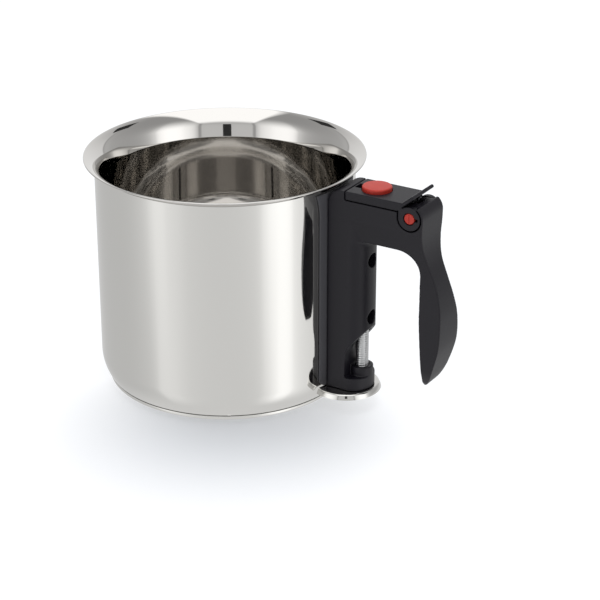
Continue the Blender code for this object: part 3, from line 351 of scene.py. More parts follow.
def rolled_aluminium():
    """Mill-finish aluminium disc: pale grey with rolling lines."""
    made, tree, shader = finish("aluminium_rolled_mill_finish", "D8D8D8", 0.4, 1.0)
    roughen(tree, shader, noise(tree, 1.0, 2.0, (20.0, 1500.0, 20.0)), 0.3, 0.5)
    return made


def turned_brass():
    """Brass as it leaves the lathe: yellow metal with turning rings."""
    made, tree, shader = finish("brass_turned", "DDB86A", 0.3, 1.0)
    roughen(tree, shader, noise(tree, 1.0, 2.0, (30.0, 30.0, 5000.0)), 0.2, 0.4)
    return made


def moulded_silicone():
    """Grey silicone ring: matt and slightly mottled."""
    made, tree, shader = finish("silicone_moulded_grey", "9C9D9F", 0.6)
    roughen(tree, shader, noise(tree, 800.0, 3.0), 0.5, 0.7)
    return made


FINISHES = {
    "polished_steel": mirror_polished_stainless(),
    "spun_steel": spun_stainless(),
    "zinc_plated_steel": plated_steel(),
    "spring_steel": drawn_wire(),
    "aluminium": rolled_aluminium(),
    "brass": turned_brass(),
    "black_moulding": moulded_phenolic("phenolic_moulded_satin_black", "15131A", 0.36),
    # Spacer: lighter than the handle's black. This is partly its own matt grey tone and partly painted light
    # for the light from the right that reaches it beside the column.
    "matt_moulding": moulded_phenolic("phenolic_moulded_matt_grey_black_and_painted_light", "4C4B4E", 0.6),
    "red_moulding": moulded_red_nylon(),
    "grey_silicone": moulded_silicone(),
}
BODY_OF = {node: body for body, nodes in frame["record"]["behaviour"]["bodies"].items() for node in nodes}
SLOT_OF = {part["node"]: part["material_slot"] for part in frame["record"]["subparts"]}


def dress_cad():
    """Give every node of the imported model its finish."""
    for node, piece in frame["nodes"].items():
        piece.data.materials.clear()
        piece.data.materials.append(FINISHES[SLOT_OF[node]])


def take_over(piece, node, surface=None):
    """Let a fine piece stand for a node, on its body and with its finish."""
    slot = SLOT_OF[node]
    piece.data.materials.clear()
    piece.data.materials.append(FINISHES[surface or slot])
    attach(piece, BODY_OF[node])
    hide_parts(node)
    return piece


def solid(name, shape):
    """Object from a bmesh, in the scene."""
    bmesh.ops.recalc_face_normals(shape, faces=shape.faces)
    mesh = bpy.data.meshes.new(name)
    shape.to_mesh(mesh)
    shape.free()
    piece = bpy.data.objects.new(name, mesh)
    bpy.context.scene.collection.objects.link(piece)
    return piece


def arc(centre, radius, start, end, steps):
    """Points on a circle from one angle to another, in degrees."""
    points = []
    for index in range(steps + 1):
        angle = math.radians(start + (end - start) * index / steps)
        points.append((centre[0] + radius * math.cos(angle), centre[1] + radius * math.sin(angle)))
    return points


def lathe(name, profile, steps, axis=(0.0, 0.0)):
    """Turn (radius, height) points about an upright axis; a profile that starts on it also ends on it."""
    shape = bmesh.new()
    on_axis = profile[0][0] == 0
    rings = []
    for radius, height in profile:
        if radius == 0:
            rings.append([shape.verts.new((axis[0], axis[1], height))] * steps)
            continue
        ring = []
        for index in range(steps):
            angle = 2 * math.pi * index / steps
            spot = (axis[0] + radius * math.cos(angle), axis[1] + radius * math.sin(angle), height)
            ring.append(shape.verts.new(spot))
        rings.append(ring)
    pairs = list(zip(rings, rings[1:]))
    if not on_axis:
        pairs.append((rings[-1], rings[0]))
    for low, high in pairs:
        for index in range(steps):
            after = (index + 1) % steps
            corners = []
            for corner in (low[index], low[after], high[after], high[index]):
                if corner not in corners:
                    corners.append(corner)
            shape.faces.new(corners)
    return solid(name, shape)


def smooth(piece, angle=30.0):
    piece.data.shade_smooth()
    piece.data.set_sharp_from_angle(angle=math.radians(angle))
    return piece


def applied(piece):
    """Replace the piece's mesh with what its modifiers make of it."""
    graph = bpy.context.evaluated_depsgraph_get()
    mesh = bpy.data.meshes.new_from_object(piece.evaluated_get(graph))
    piece.modifiers.clear()
    piece.data = mesh
    return piece


def cut(piece, *shapes, operation="DIFFERENCE"):
    """Cut shapes from a piece in one step, or join them to it, and remove them."""
    tools = bpy.data.collections.new("tools")
    for shape in shapes:
        tools.objects.link(shape)
    step = piece.modifiers.new("cut", "BOOLEAN")
    step.operation = operation
    step.operand_type = "COLLECTION"
    step.collection = tools
    step.solver = "EXACT"
    applied(piece)
    for shape in shapes:
        bpy.data.objects.remove(shape, do_unlink=True)
    bpy.data.collections.remove(tools)
    return piece


def lying(piece, place, axis):
    """Turn a piece made upright at the origin to lie along X or Y, through a place."""
    turn = {"X": Matrix.Rotation(math.pi / 2, 4, "Y"), "Y": Matrix.Rotation(-math.pi / 2, 4, "X")}
    piece.data.transform(Matrix.Translation(place) @ turn[axis])
    return piece


def rod(name, radius, low, high, steps, place, axis="X"):
    piece = lathe(name, [(0.0, high), (radius, high), (radius, low), (0.0, low)], steps)
    return lying(piece, place, axis)


def lip_curve():
    """Inside of the lip from the wall to the rim, as (radius, height, lean in degrees)."""
    runs = [(LIP_BEND, 0.0, LIP_LEAN, 6), (LIP_CONE, LIP_LEAN, LIP_CONE_LEAN, 10),
            (LIP_CURVE, LIP_CONE_LEAN, LIP_END, 36)]
    radius, height = BOWL_INSIDE, LIP_START
    points = [(radius, height, 0.0)]
    for bend, first, last, steps in runs:
        start = math.radians(first)
        for index in range(1, steps + 1):
            lean = first + (last - first) * index / steps
            angle = math.radians(lean)
            across = radius + bend * (math.cos(start) - math.cos(angle))
            up = height + bend * (math.sin(angle) - math.sin(start))
            points.append((across, up, lean))
        radius, height = points[-1][:2]
    return points


def under_lip(gap):
    """The lip's other side, a sheet's thickness and a gap further out."""
    points = []
    for radius, height, lean in lip_curve():
        angle = math.radians(lean)
        out = SHEET + gap
        points.append((radius + out * math.cos(angle), height - out * math.sin(angle)))
    return points


def outer_shell():
    """Outer wall with its rounded lower edge; its top follows the underside of the lip."""
    turn = (POT_RADIUS - TURN_RADIUS, TURN_START)
    inside = TURN_RADIUS - SHEET
    inside_angle = math.degrees(math.asin((TURN_START - SHELL_FLOOR) / inside))
    top = [point for point in under_lip(LIP_GAP) if POT_RADIUS - SHEET < point[0] < POT_RADIUS]
    profile = [(0.0, SHELL_FLOOR)]
    profile += arc(turn, inside, -inside_angle, 0.0, 16)
    profile += [(POT_RADIUS - SHEET, top[0][1]), *top, (POT_RADIUS, top[-1][1])]
    profile += arc(turn, TURN_RADIUS, 0.0, -TURN_ANGLE, 20)
    under = SHELL_FLOOR - SHEET
    profile += [(RECESS_RADIUS, SEAM_HEIGHT), (RECESS_RADIUS, under), (0.0, under)]
    shell = lathe("outer_shell_wall", profile, POT_STEPS)
    port = rod("nozzle_port", NOZZLE_RADIUS + CLEAR, 70 * MM, 90 * MM, 48, (0.0, 0.0, NOZZLE_HEIGHT))
    return smooth(cut(shell, port))


def inner_bowl():
    """Bowl with its flared lip and the rounded edge of the sheet."""
    corner = (BOWL_INSIDE - BOWL_CORNER, BOWL_FLOOR + BOWL_CORNER)
    upper = lip_curve()
    radius, height, lean = upper[-1]
    angle = math.radians(lean)
    rim = (radius + SHEET / 2 * math.cos(angle), height - SHEET / 2 * math.sin(angle))
    profile = [(0.0, BOWL_FLOOR)]
    profile += arc(corner, BOWL_CORNER, -90.0, 0.0, 20)
    profile += [point[:2] for point in upper]
    profile += arc(rim, SHEET / 2, 180.0 - lean, -lean, 8)[1:-1]
    profile += reversed(under_lip(0.0))
    profile += arc(corner, BOWL_CORNER + SHEET, 0.0, -90.0, 20)
    profile += [(0.0, BOWL_FLOOR - SHEET)]
    return smooth(lathe("inner_bowl_and_lip", profile, POT_STEPS))


def base_cap():
    """Cap under the base; its edge stays below the seam and leaves a dark joint."""
    outside = SEAM_RADIUS - CAP_SET_BACK
    inside = RECESS_RADIUS
    sheet = SHEET
    top = SEAM_HEIGHT - SEAM_GROOVE
    edge = 0.3 * MM
    profile = [(0.0, sheet), (inside, sheet), (inside, top)]
    profile += arc((outside - edge, top - edge), edge, 90.0, 0.0, 4)
    profile += arc((outside - CAP_ROUND, CAP_ROUND), CAP_ROUND, 0.0, -90.0, 8)
    profile += [(0.0, 0.0)]
    return smooth(lathe("base_cap_edge", profile, POT_STEPS))


def slab(name, outline, half):
    """Outline in the XZ plane with thickness to both sides."""
    shape = bmesh.new()
    near = [shape.verts.new((across, -half, up)) for across, up in outline]
    far = [shape.verts.new((across, half, up)) for across, up in outline]
    shape.faces.new(near)
    shape.faces.new(reversed(far))
    for index in range(len(outline)):
        after = (index + 1) % len(outline)
        shape.faces.new((near[index], far[index], far[after], near[after]))
    return solid(name, shape)


def block(name, low, high):
    shape = bmesh.new()
    low = Vector(low)
    high = Vector(high)
    size = Matrix.Diagonal((*(high - low), 1.0))
    bmesh.ops.create_cube(shape, size=1.0, matrix=Matrix.Translation((low + high) / 2) @ size)
    return solid(name, shape)


def bevelled(piece, width, segments=4):
    """Round the edges that are sharper than 50 degrees."""
    bevel = piece.modifiers.new("edges", "BEVEL")
    bevel.width = width
    bevel.segments = segments
    bevel.limit_method = "ANGLE"
    bevel.angle_limit = math.radians(50.0)
    return applied(piece)


def moulded(piece, grain, rounds, share):
    """Give a cut moulding the small even edge radius that comes out of a mould."""
    even = piece.modifiers.new("even", "REMESH")
    even.mode = "VOXEL"
    even.voxel_size = grain
    soft = piece.modifiers.new("soft", "SMOOTH")
    soft.factor = 0.5
    soft.iterations = rounds
    fewer = piece.modifiers.new("fewer", "DECIMATE")
    fewer.ratio = share
    applied(piece)
    piece.data.shade_smooth()
    return piece


def flow(points, steps):
    """Smooth run through points, without the first and last, which only steer its ends."""
    run = []
    for before, start, end, after in zip(points, points[1:], points[2:], points[3:]):
        for index in range(steps):
            share = index / steps
            spot = []
            for a, b, c, d in zip(before, start, end, after):
                curve = 2 * b + (c - a) * share + (2 * a - 5 * b + 4 * c - d) * share ** 2
                spot.append((curve + (3 * b - a - 3 * c + d) * share ** 3) / 2)
            run.append(tuple(spot))
    run.append(points[-2])
    return run


def handle_outline():
    """Side view of head, beam and grip, from the back of the column round the top."""
    hinge = (HINGE.x, HINGE.z)
    grip = [(HINGE.x + out * MM, HINGE.z + up * MM) for out, up in GRIP_OUTER + [GRIP_TIP] + GRIP_INNER]
    seat_angle = math.degrees(math.asin((FLAP_SEAT - HINGE.z) / LUG_RADIUS))
    stop_angle = math.degrees(math.asin((SHOULDER_TOP - HINGE.z) / SHOULDER_RADIUS))
    shoulder_end = (HINGE.x + SHOULDER_RADIUS, HINGE.z)
    fillet = arc((grip[-1][0] - GRIP_FILLET, BEAM_BOTTOM - GRIP_FILLET), GRIP_FILLET, 0.0, 90.0, 20)
    outline = [(COLUMN_BACK, BEAM_BOTTOM)]
    outline += arc((COLUMN_BACK + HEAD_ROUND, FLAP_TOP - HEAD_ROUND), HEAD_ROUND, 180.0, 90.0, 20)
    outline += [(HEAD_END, FLAP_TOP), (HEAD_END, FLAP_SEAT)]
    outline += arc(hinge, LUG_RADIUS, 180.0 - seat_angle, 90.0, 16)
    outline += arc(hinge, SHOULDER_RADIUS, stop_angle, 0.0, 16)
    above = (shoulder_end[0], shoulder_end[1] + SHOULDER_RADIUS)
    outline += flow([above, shoulder_end] + grip + fillet[:2], 8)[1:-1]
    outline += fillet
    return outline


def grip_width(height):
    """Width of the handle at a height as a share of the beam's, on a smooth curve through the stations."""
    drop = (height - HINGE.z) / MM
    if drop >= GRIP_WIDTHS[0][0]:
        return GRIP_WIDTHS[0][1]
    if drop <= GRIP_WIDTHS[-1][0]:
        return GRIP_WIDTHS[-1][1]
    start = max(index for index, (place, _) in enumerate(GRIP_WIDTHS) if drop < place)
    ends = []
    for index in (start, start + 1):
        low = GRIP_WIDTHS[max(index - 1, 0)]
        high = GRIP_WIDTHS[min(index + 1, len(GRIP_WIDTHS) - 1)]
        ends.append((high[1] - low[1]) / (high[0] - low[0]))
    (place, width), (next_place, next_width) = GRIP_WIDTHS[start:start + 2]
    span = next_place - place
    share = (drop - place) / span
    value = width + (next_width - width) * share * share * (3 - 2 * share)
    return value + span * (ends[0] * share * (1 - share) ** 2 - ends[1] * share ** 2 * (1 - share))


def narrow_grip(beam):
    """Give the grip its width, in level bands."""
    shape = bmesh.new()
    shape.from_mesh(beam.data)
    low = HINGE.z + GRIP_WIDTHS[-1][0] * MM
    high = HINGE.z + GRIP_WIDTHS[0][0] * MM
    for index in range(GRIP_BANDS + 1):
        level = (0.0, 0.0, low + (high - low) * index / GRIP_BANDS)
        everything = shape.verts[:] + shape.edges[:] + shape.faces[:]
        bmesh.ops.bisect_plane(shape, geom=everything, dist=0.01 * MM, plane_co=level,
                               plane_no=(0.0, 0.0, 1.0))
    for point in shape.verts:
        point.co.y *= grip_width(point.co.z)
    bmesh.ops.triangulate(shape, faces=[face for face in shape.faces if len(face.verts) > 4])
    shape.to_mesh(beam.data)
    shape.free()


def column():
    """Upright part of the handle, with a rounded nose that blends into the beam."""
    half = HANDLE_HALF - COLUMN_INSET
    back = COLUMN_BACK - COLUMN_EDGE
    levels = [(0.0, FOOT_BOTTOM)]
    levels += arc((NOSE_BLEND, BEAM_BOTTOM - NOSE_BLEND), NOSE_BLEND, 180.0, 95.0, 12)
    levels.append((levels[-1][0], BEAM_BOTTOM + GRIP_FILLET))
    shape = bmesh.new()
    rings = []
    for blend, height in levels:
        depth = NOSE_DEPTH + blend
        ring = [shape.verts.new((back, half, height)), shape.verts.new((back, -half, height))]
        for across, side in arc((0.0, 0.0), half, -90.0, 90.0, 48):
            ring.append(shape.verts.new((NOSE_START + across * depth / half, side, height)))
        rings.append(ring)
    shape.faces.new(rings[0])
    shape.faces.new(reversed(rings[-1]))
    for low_ring, high_ring in zip(rings, rings[1:]):
        for index in range(len(low_ring)):
            after = (index + 1) % len(low_ring)
            shape.faces.new((low_ring[index], high_ring[index], high_ring[after], low_ring[after]))
    return bevelled(solid("column", shape), COLUMN_EDGE)


def window_outline():
    """Side view of the window: floor, back with a rounded top and a roof that rises to the front."""
    back = NOSE_FRONT - WINDOW_DEPTH
    slope = math.atan2(WINDOW_TOP - WINDOW_BACK_TOP, WINDOW_DEPTH)
    turn = 90.0 - math.degrees(slope)
    setback = WINDOW_ROUND * math.tan(math.radians(turn) / 2)
    front = NOSE_FRONT + PAST
    outline = [(front, WINDOW_FLOOR), (back, WINDOW_FLOOR)]
    outline += arc((back + WINDOW_ROUND, WINDOW_BACK_TOP - setback), WINDOW_ROUND, 180.0, 180.0 - turn, 12)
    outline += [(front, WINDOW_TOP + PAST * math.tan(slope))]
    return outline


def upright(name, radius, low, high, steps, across):
    """Upright cylinder in the handle's middle plane."""
    return lathe(name, [(0.0, high), (radius, high), (radius, low), (0.0, low)], steps, (across, 0.0))


def bracket_room():
    """Cutter of the room for the bracket, from inside the pot's wall."""
    return block("bracket", (INSIDE_POT, -BRACKET_HALF, BRACKET_LOW),
                 (BRACKET_FRONT, BRACKET_HALF, BRACKET_HIGH))


def handle_room():
    """Shapes of the room in the handle for everything that sits in it."""
    window = slab("window", window_outline(), HANDLE_HALF + PAST)
    cut(window, upright("collar", BOSS_RADIUS, WINDOW_FLOOR - PAST, BOSS_TOP, 64, STUD_AXIS))
    room = [window,
            upright("saddle", SADDLE_RADIUS, 0.0, OVER_POT, POT_STEPS, 0.0),
            bracket_room(),
            upright("neck_seat", NECK_SEAT, NECK_SEAT_LOW, FLAP_TOP + PAST, 64, BUTTON_AXIS),
            upright("neck_bore", NECK_BORE, NECK_LOW, FLAP_TOP, 64, BUTTON_AXIS),
            rod("pin", PIN_RADIUS + PIN_ROOM, -HANDLE_HALF, HANDLE_HALF, 48, tuple(HINGE), "Y"),
            block("spring", (HINGE.x - POCKET_ROOM, -POCKET_HALF, HINGE.z - POCKET_ROOM),
                  (HINGE.x + POCKET_ROOM, POCKET_HALF, HINGE.z + POCKET_ROOM)),
            block("leg", (HINGE.x - POCKET_ROOM + COLUMN_INSET, COLUMN_INSET - POCKET_HALF, HINGE.z),
                  (HINGE.x + LID_WIRE, POCKET_HALF - COLUMN_INSET, SHOULDER_TOP + PAST)),
            upright("stud", STUD_RADIUS + CLEAR, 0.0, BOSS_TOP + PAST, 48, STUD_AXIS),
            upright("insert", INSERT_RADIUS, BOSS_TOP + 1.5 * PAST, INSERT_TOP, 48, STUD_AXIS)]
    for height in SCREW_HEIGHTS:
        place = (0.0, 0.0, height)
        room.append(rod("screw", SCREW_RADIUS + CLEAR, WEB_BACK, SCREW_SEAT + PAST, 32, place))
        room.append(rod("access", ACCESS_RADIUS, SCREW_SEAT, NOSE_FRONT + PAST, 48, place))
    axis = (0.0, 0.0, NOZZLE_HEIGHT)
    room.append(rod("nozzle", NOZZLE_RADIUS + CLEAR, POT_RADIUS, BUTTON_AXIS, 48, axis))
    room.append(rod("gasket", GASKET_BORE, GASKET_START, BUTTON_AXIS, 48, axis))
    for side in (-1, 1):
        low, high = sorted((side * (HANDLE_HALF - GAP_DEPTH), side * (HANDLE_HALF + PAST)))
        room.append(block("gap", (INSIDE_POT, low, 0.0), (COLUMN_BACK + GAP_WIDTH, high, OVER_POT)))
        low, high = sorted((side * LUG_HALF, side * (HANDLE_HALF + PAST)))
        room.append(rod("ear", EAR_RADIUS + RUN, low, high, 96, tuple(HINGE), "Y"))
        left = HINGE.x - EAR_RADIUS - RUN + COLUMN_INSET
        room.append(block("ear_neck", (left, low, HINGE.z), (HINGE.x, high, FLAP_SEAT + PAST)))
    return room


def handle_body():
    """Column, beam and grip moulded in one."""
    body = bevelled(slab("handle_moulding", handle_outline(), HANDLE_HALF), BEAM_EDGE)
    narrow_grip(body)
    cut(body, column(), operation="UNION")
    cut(body, *handle_room())
    return moulded(body, HANDLE_GRAIN, 2, FACES_KEPT)


def flap_outline():
    """Side view of the flap's plate and its thumb tab, which rises past the hinge."""
    along = Vector((math.cos(TAB_ANGLE), math.sin(TAB_ANGLE)))
    away = Vector((-math.sin(TAB_ANGLE), math.cos(TAB_ANGLE)))
    under = Vector((HINGE.x, HINGE.z)) + away * (LUG_RADIUS + TAB_GAP)
    over = under + away * TAB_THICK
    root_under = under + along * ((FLAP_BOTTOM - under.y) / along.y)
    root_over = over + along * ((FLAP_TOP - over.y) / along.y)
    plate = [(FLAP_END, FLAP_TOP), (FLAP_END, FLAP_BOTTOM)]
    return plate + [tuple(root_under), tuple(under + along * TAB_LENGTH), tuple(over + along * TAB_LENGTH),
                    tuple(root_over)]


def lid_flap():
    """Filler flap with its ears, thumb tab, button well and steam outlet."""
    through = HANDLE_HALF + PAST
    outlet_end = BUTTON_AXIS - BUTTON_RADIUS
    flap = bevelled(slab("lid_flap_moulding", flap_outline(), HANDLE_HALF), FLAP_EDGE, 3)
    ears = []
    for side in (-1, 1):
        low, high = sorted((side * EAR_INSIDE, side * (HANDLE_HALF - COLUMN_INSET)))
        ears.append(rod("ear", EAR_RADIUS - EAR_SHY, low, high, 96, tuple(HINGE), "Y"))
        left = HINGE.x - EAR_RADIUS + EAR_SHY + COLUMN_INSET
        near, far = sorted((side * (EAR_INSIDE + COLUMN_INSET), side * (HANDLE_HALF - 2 * COLUMN_INSET)))
        ears.append(block("ear_neck", (left, near, HINGE.z), (HINGE.x, far, HINGE.z + EAR_RISE)))
    cut(flap, *ears, operation="UNION")
    cut(flap, upright("well", BUTTON_RADIUS + CLEAR, WELL_BOTTOM, FLAP_TOP + PAST, 96, BUTTON_AXIS),
        block("outlet", (outlet_end - OUTLET_LENGTH, -OUTLET_HALF, WELL_BOTTOM),
              (outlet_end + PAST, OUTLET_HALF, FLAP_TOP + PAST)),
        upright("stem", STEM_RADIUS + CLEAR, FLAP_BOTTOM - PAST, FLAP_TOP, 32, BUTTON_AXIS),
        upright("plate", PLATE_RADIUS, FLAP_BOTTOM - PAST, PLATE_TOP, 64, BUTTON_AXIS),
        *sound_holes(),
        rod("pin", PIN_RADIUS + PIN_ROOM, -through, through, 48, tuple(HINGE), "Y"),
        block("tail", (HINGE.x, -through, HINGE.z - KEY_WIDTH / 2),
              (HINGE.x + KEY_REACH, through, HINGE.z + KEY_WIDTH / 2)))
    return moulded(flap, FLAP_GRAIN, 3, FACES_KEPT)


def sound_holes():
    """Cutters of the whistle's holes."""
    holes = []
    for index in range(SOUND_HOLES):
        angle = 2 * math.pi * (index + 0.5) / SOUND_HOLES
        place = (BUTTON_AXIS + SOUND_CIRCLE * math.cos(angle), SOUND_CIRCLE * math.sin(angle))
        profile = [(0.0, FLAP_TOP), (SOUND_HOLE_RADIUS, FLAP_TOP)]
        profile += [(SOUND_HOLE_RADIUS, FLAP_BOTTOM - PAST), (0.0, FLAP_BOTTOM - PAST)]
        holes.append(lathe("sound_hole", profile, 20, place))
    return holes


def handle_spacer():
    """Saddle that hugs the wall, flared under the lip and open for bracket and nozzle."""
    low = SPACER_FOOT - PAST
    hoop = [(SPACER_OUTSIDE, SPACER_TOP), (SPACER_OUTSIDE, low), (WALL, low), (WALL, SPACER_TOP)]
    saddle = lathe("handle_spacer_saddle", hoop, 2 * POT_STEPS)
    side = arc((SPACER_HALF - SPACER_ROUND, SPACER_FOOT + SPACER_ROUND), SPACER_ROUND, -90.0, 0.0, 16)
    for index in range(17):
        share = index / 16
        up = SPACER_TOP - SPACER_FLARE_RISE * (1 - share)
        side.append((SPACER_HALF + SPACER_FLARE * share ** 2, up))
    side.append((SPACER_HALF + SPACER_FLARE, SPACER_TOP + PAST))
    outline = slab("outline", side + [(-across, up) for across, up in reversed(side)], POT_RADIUS / 4)
    outline.data.transform(Matrix.Translation((POT_RADIUS, 0.0, 0.0)) @ Matrix.Rotation(math.pi / 2, 4, "Z"))
    cut(saddle, outline, operation="INTERSECT")
    cut(saddle, bracket_room(),
        rod("nozzle", NOZZLE_RADIUS + CLEAR, INSIDE_POT, NOZZLE_ROOM_END, 48, (0.0, 0.0, NOZZLE_HEIGHT)))
    return smooth(bevelled(saddle, SPACER_EDGE, 2))


def flame_guard():
    """Pressed disc under the foot with a slanting rim, cut away where the pot's wall passes."""
    lean = math.radians(GUARD_LEAN)
    slant = (GUARD_SKIRT - GUARD_BEND * (1 - math.sin(lean))) / math.cos(lean)
    out = slant * math.sin(lean)
    down = slant * math.cos(lean)
    bend = (GUARD_RADIUS - out - GUARD_BEND * math.cos(lean), GUARD_TOP - GUARD_BEND)
    over = arc(bend, GUARD_BEND, 90.0, GUARD_LEAN, 10)
    under = arc(bend, GUARD_BEND - SHEET, GUARD_LEAN, 90.0, 6)
    profile = [(0.0, GUARD_TOP), *over]
    for radius, height in (over[-1], under[0]):
        profile.append((radius + out, height - down))
    profile += [*under, (0.0, GUARD_TOP - SHEET)]
    guard = lathe("flame_guard_disc", profile, 128, (GUARD_AXIS, 0.0))
    cut(guard, upright("wall", WALL, 0.0, POT_HEIGHT, POT_STEPS, 0.0),
        upright("hole", STUD_RADIUS + CLEAR, 0.0, POT_HEIGHT, 48, STUD_AXIS))
    return smooth(bevelled(guard, GUARD_EDGE, 2))


def clamp_stud():
    """Stud with its thread cut all the way along."""
    steps = 40
    levels = round((STUD_HIGH - STUD_LOW) / THREAD_PITCH * 8)
    shape = bmesh.new()
    rings = []
    for level in range(levels + 1):
        height = STUD_LOW + (STUD_HIGH - STUD_LOW) * level / levels
        ring = []
        for index in range(steps):
            angle = 2 * math.pi * index / steps
            phase = (height / THREAD_PITCH - index / steps) % 1.0
            radius = STUD_RADIUS - THREAD_DEPTH * abs(2 * phase - 1)
            spot = (STUD_AXIS + radius * math.cos(angle), radius * math.sin(angle), height)
            ring.append(shape.verts.new(spot))
        rings.append(ring)
    shape.faces.new(rings[0])
    shape.faces.new(rings[-1])
    for low_ring, high_ring in zip(rings, rings[1:]):
        for index in range(steps):
            after = (index + 1) % steps
            shape.faces.new((low_ring[index], low_ring[after], high_ring[after], high_ring[index]))
    return smooth(solid("clamp_stud_thread", shape), 80.0)


def handle_screw(name, height):
    """Socket-head screw at the bottom of its access hole."""
    under = SCREW_SEAT + CLEAR
    top = under + SCREW_HEAD_THICK
    centre = (SCREW_HEAD_RADIUS - SCREW_EDGE, top - SCREW_EDGE)
    profile = [(0.0, top), *arc(centre, SCREW_EDGE, 90.0, 0.0, 4), (SCREW_HEAD_RADIUS, under)]
    profile += [(SCREW_RADIUS, under), (SCREW_RADIUS, SCREW_START), (0.0, SCREW_START)]
    place = (0.0, 0.0, height)
    screw = lying(lathe(name, profile, 48), place, "X")
    return smooth(cut(screw, rod("socket", SCREW_SOCKET, top - SCREW_HEAD_THICK / 2, top + PAST, 6, place)))


def vent_button():
    """Hollow cap with a rounded edge, on a stem with a groove for its clip."""
    inside = BUTTON_RADIUS - BUTTON_WALL
    low, high, waist = CLIP_GROOVE
    profile = [(0.0, BUTTON_TOP)]
    profile += arc((BUTTON_RADIUS - BUTTON_EDGE, BUTTON_TOP - BUTTON_EDGE), BUTTON_EDGE, 90.0, 0.0, 10)
    profile += [(BUTTON_RADIUS, BUTTON_SKIRT), (inside, BUTTON_SKIRT), (inside, BUTTON_ROOF)]
    profile += [(STEM_RADIUS, BUTTON_ROOF), (STEM_RADIUS, high), (waist, high), (waist, low)]
    profile += [(STEM_RADIUS, low), (STEM_RADIUS, STEM_LOW), (0.0, STEM_LOW)]
    return smooth(lathe("vent_button_cap", profile, 96, (BUTTON_AXIS, 0.0)))


def hinge_pin():
    """Pin with rounded ends and a slot in the near one."""
    half = [(0.0, PIN_HALF), *arc((PIN_RADIUS - PIN_EDGE, PIN_HALF - PIN_EDGE), PIN_EDGE, 90.0, 0.0, 6)]
    profile = half + [(radius, -height) for radius, height in reversed(half)]
    pin = lying(lathe("hinge_pin_rod", profile, 48), tuple(HINGE), "Y")
    slot = block("slot", (HINGE.x - PIN_SLOT / 2, -PIN_HALF - PAST, HINGE.z - PAST),
                 (HINGE.x + PIN_SLOT / 2, PIN_SLOT / 2 - PIN_HALF, HINGE.z + PAST))
    return smooth(cut(pin, slot))


def filler_neck():
    """Steel cup under the flap, with a port in its side for the nozzle."""
    bore = NECK_BORE - CLEAR - NECK_WALL
    floor_top = NECK_LOW + CLEAR + NECK_WALL
    under = NECK_TOP - NECK_FLANGE_THICK
    edge = 0.4 * MM
    profile = [(0.0, floor_top), *arc((bore - PAST / 2, floor_top + PAST / 2), PAST / 2, -90.0, 0.0, 8)]
    profile += arc((bore + edge, NECK_TOP - edge), edge, 180.0, 90.0, 5)
    profile += arc((NECK_FLANGE - edge, NECK_TOP - edge), edge, 90.0, 0.0, 5)
    profile += [(NECK_FLANGE, under), (bore + NECK_WALL, under), (bore + NECK_WALL, NECK_LOW + CLEAR)]
    profile += [(0.0, NECK_LOW + CLEAR)]
    neck = lathe("filler_neck_cup", profile, 96, (BUTTON_AXIS, 0.0))
    port = rod("port", NOZZLE_RADIUS + CLEAR, POT_RADIUS, BUTTON_AXIS, 48, (0.0, 0.0, NOZZLE_HEIGHT))
    return smooth(cut(neck, port))


def neck_seal():
    """Soft ring with rounded edges."""
    top = FLAP_BOTTOM - CLEAR
    edge = SEAL_THICK * 0.4
    inside = NECK_BORE - NECK_WALL
    corners = [(NECK_FLANGE - edge, top - edge, 90.0), (NECK_FLANGE - edge, top - SEAL_THICK + edge, 0.0),
               (inside + edge, top - SEAL_THICK + edge, -90.0), (inside + edge, top - edge, -180.0)]
    profile = []
    for across, up, start in corners:
        profile += arc((across, up), edge, start, start - 90.0, 4)
    return smooth(lathe("neck_seal_ring", profile, 96, (BUTTON_AXIS, 0.0)))


def whistle_plate():
    """Thin steel disc with the sound holes, round the button's stem."""
    low = FLAP_BOTTOM
    high = PLATE_TOP - CLEAR
    outside = PLATE_RADIUS - CLEAR
    inside = STEM_RADIUS + CLEAR
    profile = [(outside, high), (outside, low), (inside, low), (inside, high)]
    return smooth(cut(lathe("whistle_plate_disc", profile, 72, (BUTTON_AXIS, 0.0)), *sound_holes()))


def coil(radius, start, turns, pitch):
    """Points of a helix about its own Z axis, centred on the origin."""
    count = round(turns * COIL_POINTS)
    points = []
    for index in range(count + 1):
        share = index / count
        angle = start + 2 * math.pi * turns * share
        height = pitch * turns * (share - 0.5)
        points.append(Vector((radius * math.cos(angle), radius * math.sin(angle), height)))
    return points


def wire(name, points, thickness):
    """Round wire along points, its ends closed."""
    curve = bpy.data.curves.new(name, "CURVE")
    curve.dimensions = "3D"
    curve.bevel_depth = thickness / 2
    curve.bevel_resolution = 3
    curve.use_fill_caps = True
    spline = curve.splines.new("POLY")
    spline.points.add(len(points) - 1)
    for point, spot in zip(spline.points, points):
        point.co = (*spot, 1.0)
    path = bpy.data.objects.new(name, curve)
    bpy.context.scene.collection.objects.link(path)
    graph = bpy.context.evaluated_depsgraph_get()
    shape = bmesh.new()
    mesh = bpy.data.meshes.new_from_object(path.evaluated_get(graph))
    shape.from_mesh(mesh)
    bpy.data.meshes.remove(mesh)
    bpy.data.objects.remove(path, do_unlink=True)
    bmesh.ops.remove_doubles(shape, verts=shape.verts, dist=0.001 * MM)
    return smooth(solid(name, shape), 60.0)


